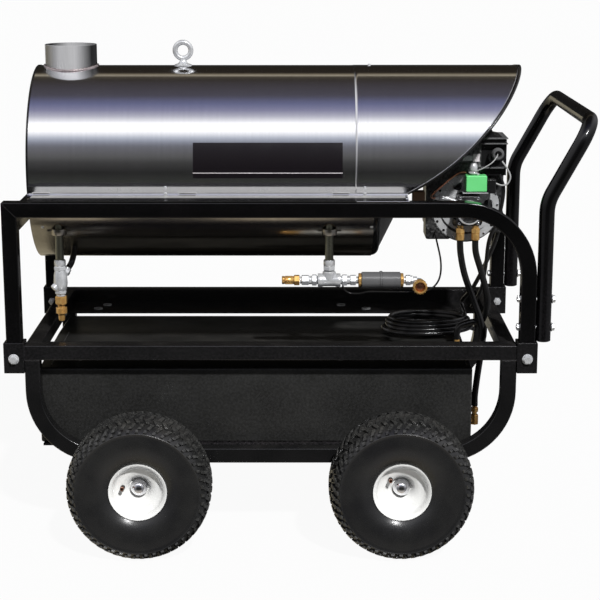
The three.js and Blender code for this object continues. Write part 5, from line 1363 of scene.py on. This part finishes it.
# ------------------------------------------------------------------ flexible lines
def build_lines(outlet_hose):
    port_y, port_z = PUMP_PORTS[0][1], PORT_Z
    tank_x = high("fuel_tank").x
    fitting_top = high("tank_fitting").z
    supply = [
        (0.491, port_y, port_z), (0.493, port_y, 0.70), (0.505, -0.102, 0.64), (0.530, -0.112, 0.57),
        (0.549, -0.128, 0.51), (0.549, -0.140, 0.45), (0.539, -0.154, 0.38),
        (tank_x + 0.022, -0.16, fitting_top + 0.03), (tank_x + 0.022, -0.16, fitting_top + 0.0005),
    ]
    publish("fuel_supply_line", hose(supply, 0.0085), "rubber", nodes=("fuel_supply_hose",))
    back = [
        (0.531, port_y, port_z), (0.533, port_y, 0.70), (0.551, -0.096, 0.64), (0.567, -0.092, 0.57),
        (0.556, -0.088, 0.516), (0.526, -0.086, 0.508), (0.497, -0.085, 0.497), (0.49, -0.085, 0.478),
        (0.49, -0.085, 0.4625),
    ]
    publish("fuel_return_line", hose(back, 0.0085), "rubber", nodes=("fuel_return_hose",))
    cap = middle("tank_cap")
    cord = []
    for i in range(33):
        a = 2 * PI * i / 8
        stray = 1.05 - 0.0055 * i + 0.04 * math.sin(1.7 * i) * math.sin(0.45 * i)
        cord.append((cap.x - 0.005 + 0.118 * stray * math.cos(a + 0.15 * math.sin(0.8 * i)),
                     cap.y + 0.085 * stray * math.sin(a), 0.4545 + 0.0012 * i))
    cord += [(0.520, 0.104, 0.520), (0.545, 0.060, 0.570), (0.575, 0.020, 0.650), (0.602, 0, 0.740), (0.603, -0.004, 0.850),
             (0.600, -0.006, 0.896)]
    publish("power_cord_coil", hose(cord, 0.0058), "rubber", nodes=("power_cord",))
    publish("pressure_line", hose(outlet_hose, 0.0078), "rubber")


# ------------------------------------------------------------------ stage
def build_stage():
    size = 60.0
    mesh = bpy.data.meshes.new("floor")
    mesh.from_pydata([(-size, -size, 0), (size, -size, 0), (size, size, 0), (-size, size, 0)], [], [(0, 1, 2, 3)])
    floor = bpy.data.objects.new("floor", mesh)
    bpy.context.scene.collection.objects.link(floor)
    material = bpy.data.materials.new("pale_floor")
    material.use_nodes = True
    nodes = Nodes(material.node_tree)
    shader = material.node_tree.nodes["Principled BSDF"]
    tone = nodes.mix(nodes.noise(3.0), rgb(0.26, 0.26, 0.26), rgb(0.28, 0.28, 0.28))
    nodes.tree.links.new(tone, shader.inputs["Base Color"])
    shader.inputs["Roughness"].default_value = 0.8
    glow = nodes.add("Emission", {"Color": rgb(1.0, 1.0, 1.0), "Strength": 1.03}).outputs[0]
    seen = nodes.math("MULTIPLY", nodes.add("LightPath").outputs["Is Camera Ray"], 0.92)
    blend = nodes.add("MixShader", {0: seen, 1: shader.outputs[0], 2: glow}).outputs[0]
    nodes.tree.links.new(blend, material.node_tree.nodes["Material Output"].inputs["Surface"])
    mesh.materials.append(material)
    floor.visible_glossy = False


# Reflected light by height round the X axis: 0 is the horizon in front of the cart, 90 is
# overhead, 180 the horizon behind it, and less than 0 is the ground in front.
STRIPS = [
    (-180, (0.03, 0.03, 0.03)), (-168, (0.1, 0.1, 0.1)), (-105, (0.06, 0.058, 0.05)),
    (-75, (0.07, 0.068, 0.055)), (-70, (0.6, 0.53, 0.42)), (-62, (0.66, 0.58, 0.48)),
    (-40, (0.5, 0.48, 0.46)), (-29, (0.3, 0.28, 0.26)), (-24.5, (0.065, 0.06, 0.055)),
    (-19, (0.042, 0.044, 0.04)), (-6, (0.022, 0.022, 0.022)), (6, (0.056, 0.056, 0.056)),
    (13, (0.115, 0.115, 0.117)), (17, (0.13, 0.13, 0.14)), (25, (0.17, 0.172, 0.2)),
    (30, (0.3, 0.32, 0.39)), (35, (0.56, 0.6, 0.7)), (43, (1.35, 1.35, 1.38)),
    (50, (1.7, 1.7, 1.75)), (56, (0.98, 0.98, 1.04)), (62, (0.54, 0.54, 0.65)),
    (70, (0.27, 0.27, 0.41)), (79, (0.155, 0.165, 0.30)), (91, (0.08, 0.076, 0.1)),
    (121, (0.042, 0.036, 0.032)), (128, (0.07, 0.06, 0.045)), (131, (0.42, 0.37, 0.29)),
    (134, (0.2, 0.17, 0.12)), (138, (0.025, 0.02, 0.016)), (160, (0.02, 0.017, 0.013)),
    (178, (0.03, 0.03, 0.03)),
]


def build_light():
    world = bpy.data.worlds.new("studio")
    bpy.context.scene.world = world
    world.use_nodes = True
    world.cycles.sampling_method = "NONE"
    nodes = Nodes(world.node_tree)
    direction = nodes.add("SeparateXYZ", {0: nodes.add("TexCoord").outputs["Generated"]}).outputs
    front = nodes.math("MULTIPLY", direction[1], -1.0)
    height = nodes.math("ARCTAN2", direction[2], front)
    ramp = nodes.add("ValToRGB", {0: nodes.spread(height, -PI, PI)})
    stops = ramp.color_ramp.elements
    for index, (angle, colour) in enumerate(STRIPS):
        place = (angle + 180) / 360
        stop = stops[index] if index < 2 else stops.new(place)
        stop.position = place
        stop.color = (*colour, 1.0)
    overhead = nodes.spread(direction[2], -0.05, 0.75)
    general = nodes.mix(overhead, rgb(0.22, 0.22, 0.23), rgb(1.0, 1.0, 1.05))
    sideways = nodes.spread(nodes.math("ABSOLUTE", direction[0]), 0.35, 0.7)
    shown = nodes.mix(sideways, ramp.outputs[0], general)
    shiny = nodes.add("LightPath").outputs["Is Glossy Ray"]
    leftward = nodes.spread(direction[0], -0.125, -0.145)
    downward = nodes.spread(height, math.radians(-46), math.radians(-54))
    ground = nodes.mix(nodes.math("MULTIPLY", leftward, downward), shown, rgb(0.6, 0.54, 0.4), "LIGHTEN")
    colour = nodes.mix(shiny, rgb(0.17, 0.172, 0.18), ground)
    background = world.node_tree.nodes["Background"]
    nodes.tree.links.new(colour, background.inputs["Color"])
    background.inputs["Strength"].default_value = 0.9

    # One sun lights every surface; its twin only draws the glints on paint, rubber and fittings.
    for name, energy in (("key", 5.9), ("glint", 2.2)):
        sun = bpy.data.lights.new(name, "SUN")
        sun.energy = energy
        sun.angle = math.radians(3)
        key = bpy.data.objects.new(name, sun)
        bpy.context.scene.collection.objects.link(key)
        key.rotation_euler = (math.radians(46), 0, math.radians(22))
        key.visible_glossy = name == "glint"
        key.visible_diffuse = name == "key"
        if name == "glint":
            key.light_linking.receiver_collection = GLINTS
    bpy.context.scene.view_settings.view_transform = "Standard"


def build_camera():
    """The photograph's viewpoint: level with the drum's top, a little over 4 m to the left side."""
    camera = bpy.data.objects.new("camera", bpy.data.cameras.new("camera"))
    bpy.context.scene.collection.objects.link(camera)
    camera.location = ORIGIN + Vector((0.0785, -4.257, 1.526))
    camera.rotation_euler = (math.radians(90 - 12.93), 0, 0)
    camera.data.sensor_width = 36
    camera.data.lens = 97.2
    camera.data.shift_x = -1 / 300
    bpy.context.scene.camera = camera


build_lower_frame()
build_cage()
build_handle()
build_bolts()
build_wheels()
build_tank()
build_jacket()
build_drum_ends()
build_stack()
build_eye()
build_plate()
build_coil()
outlet_hose = build_outlet()
build_inlet()
build_tank_fitting()
build_burner()
build_lines(outlet_hose)
build_stage()
build_light()
build_camera()
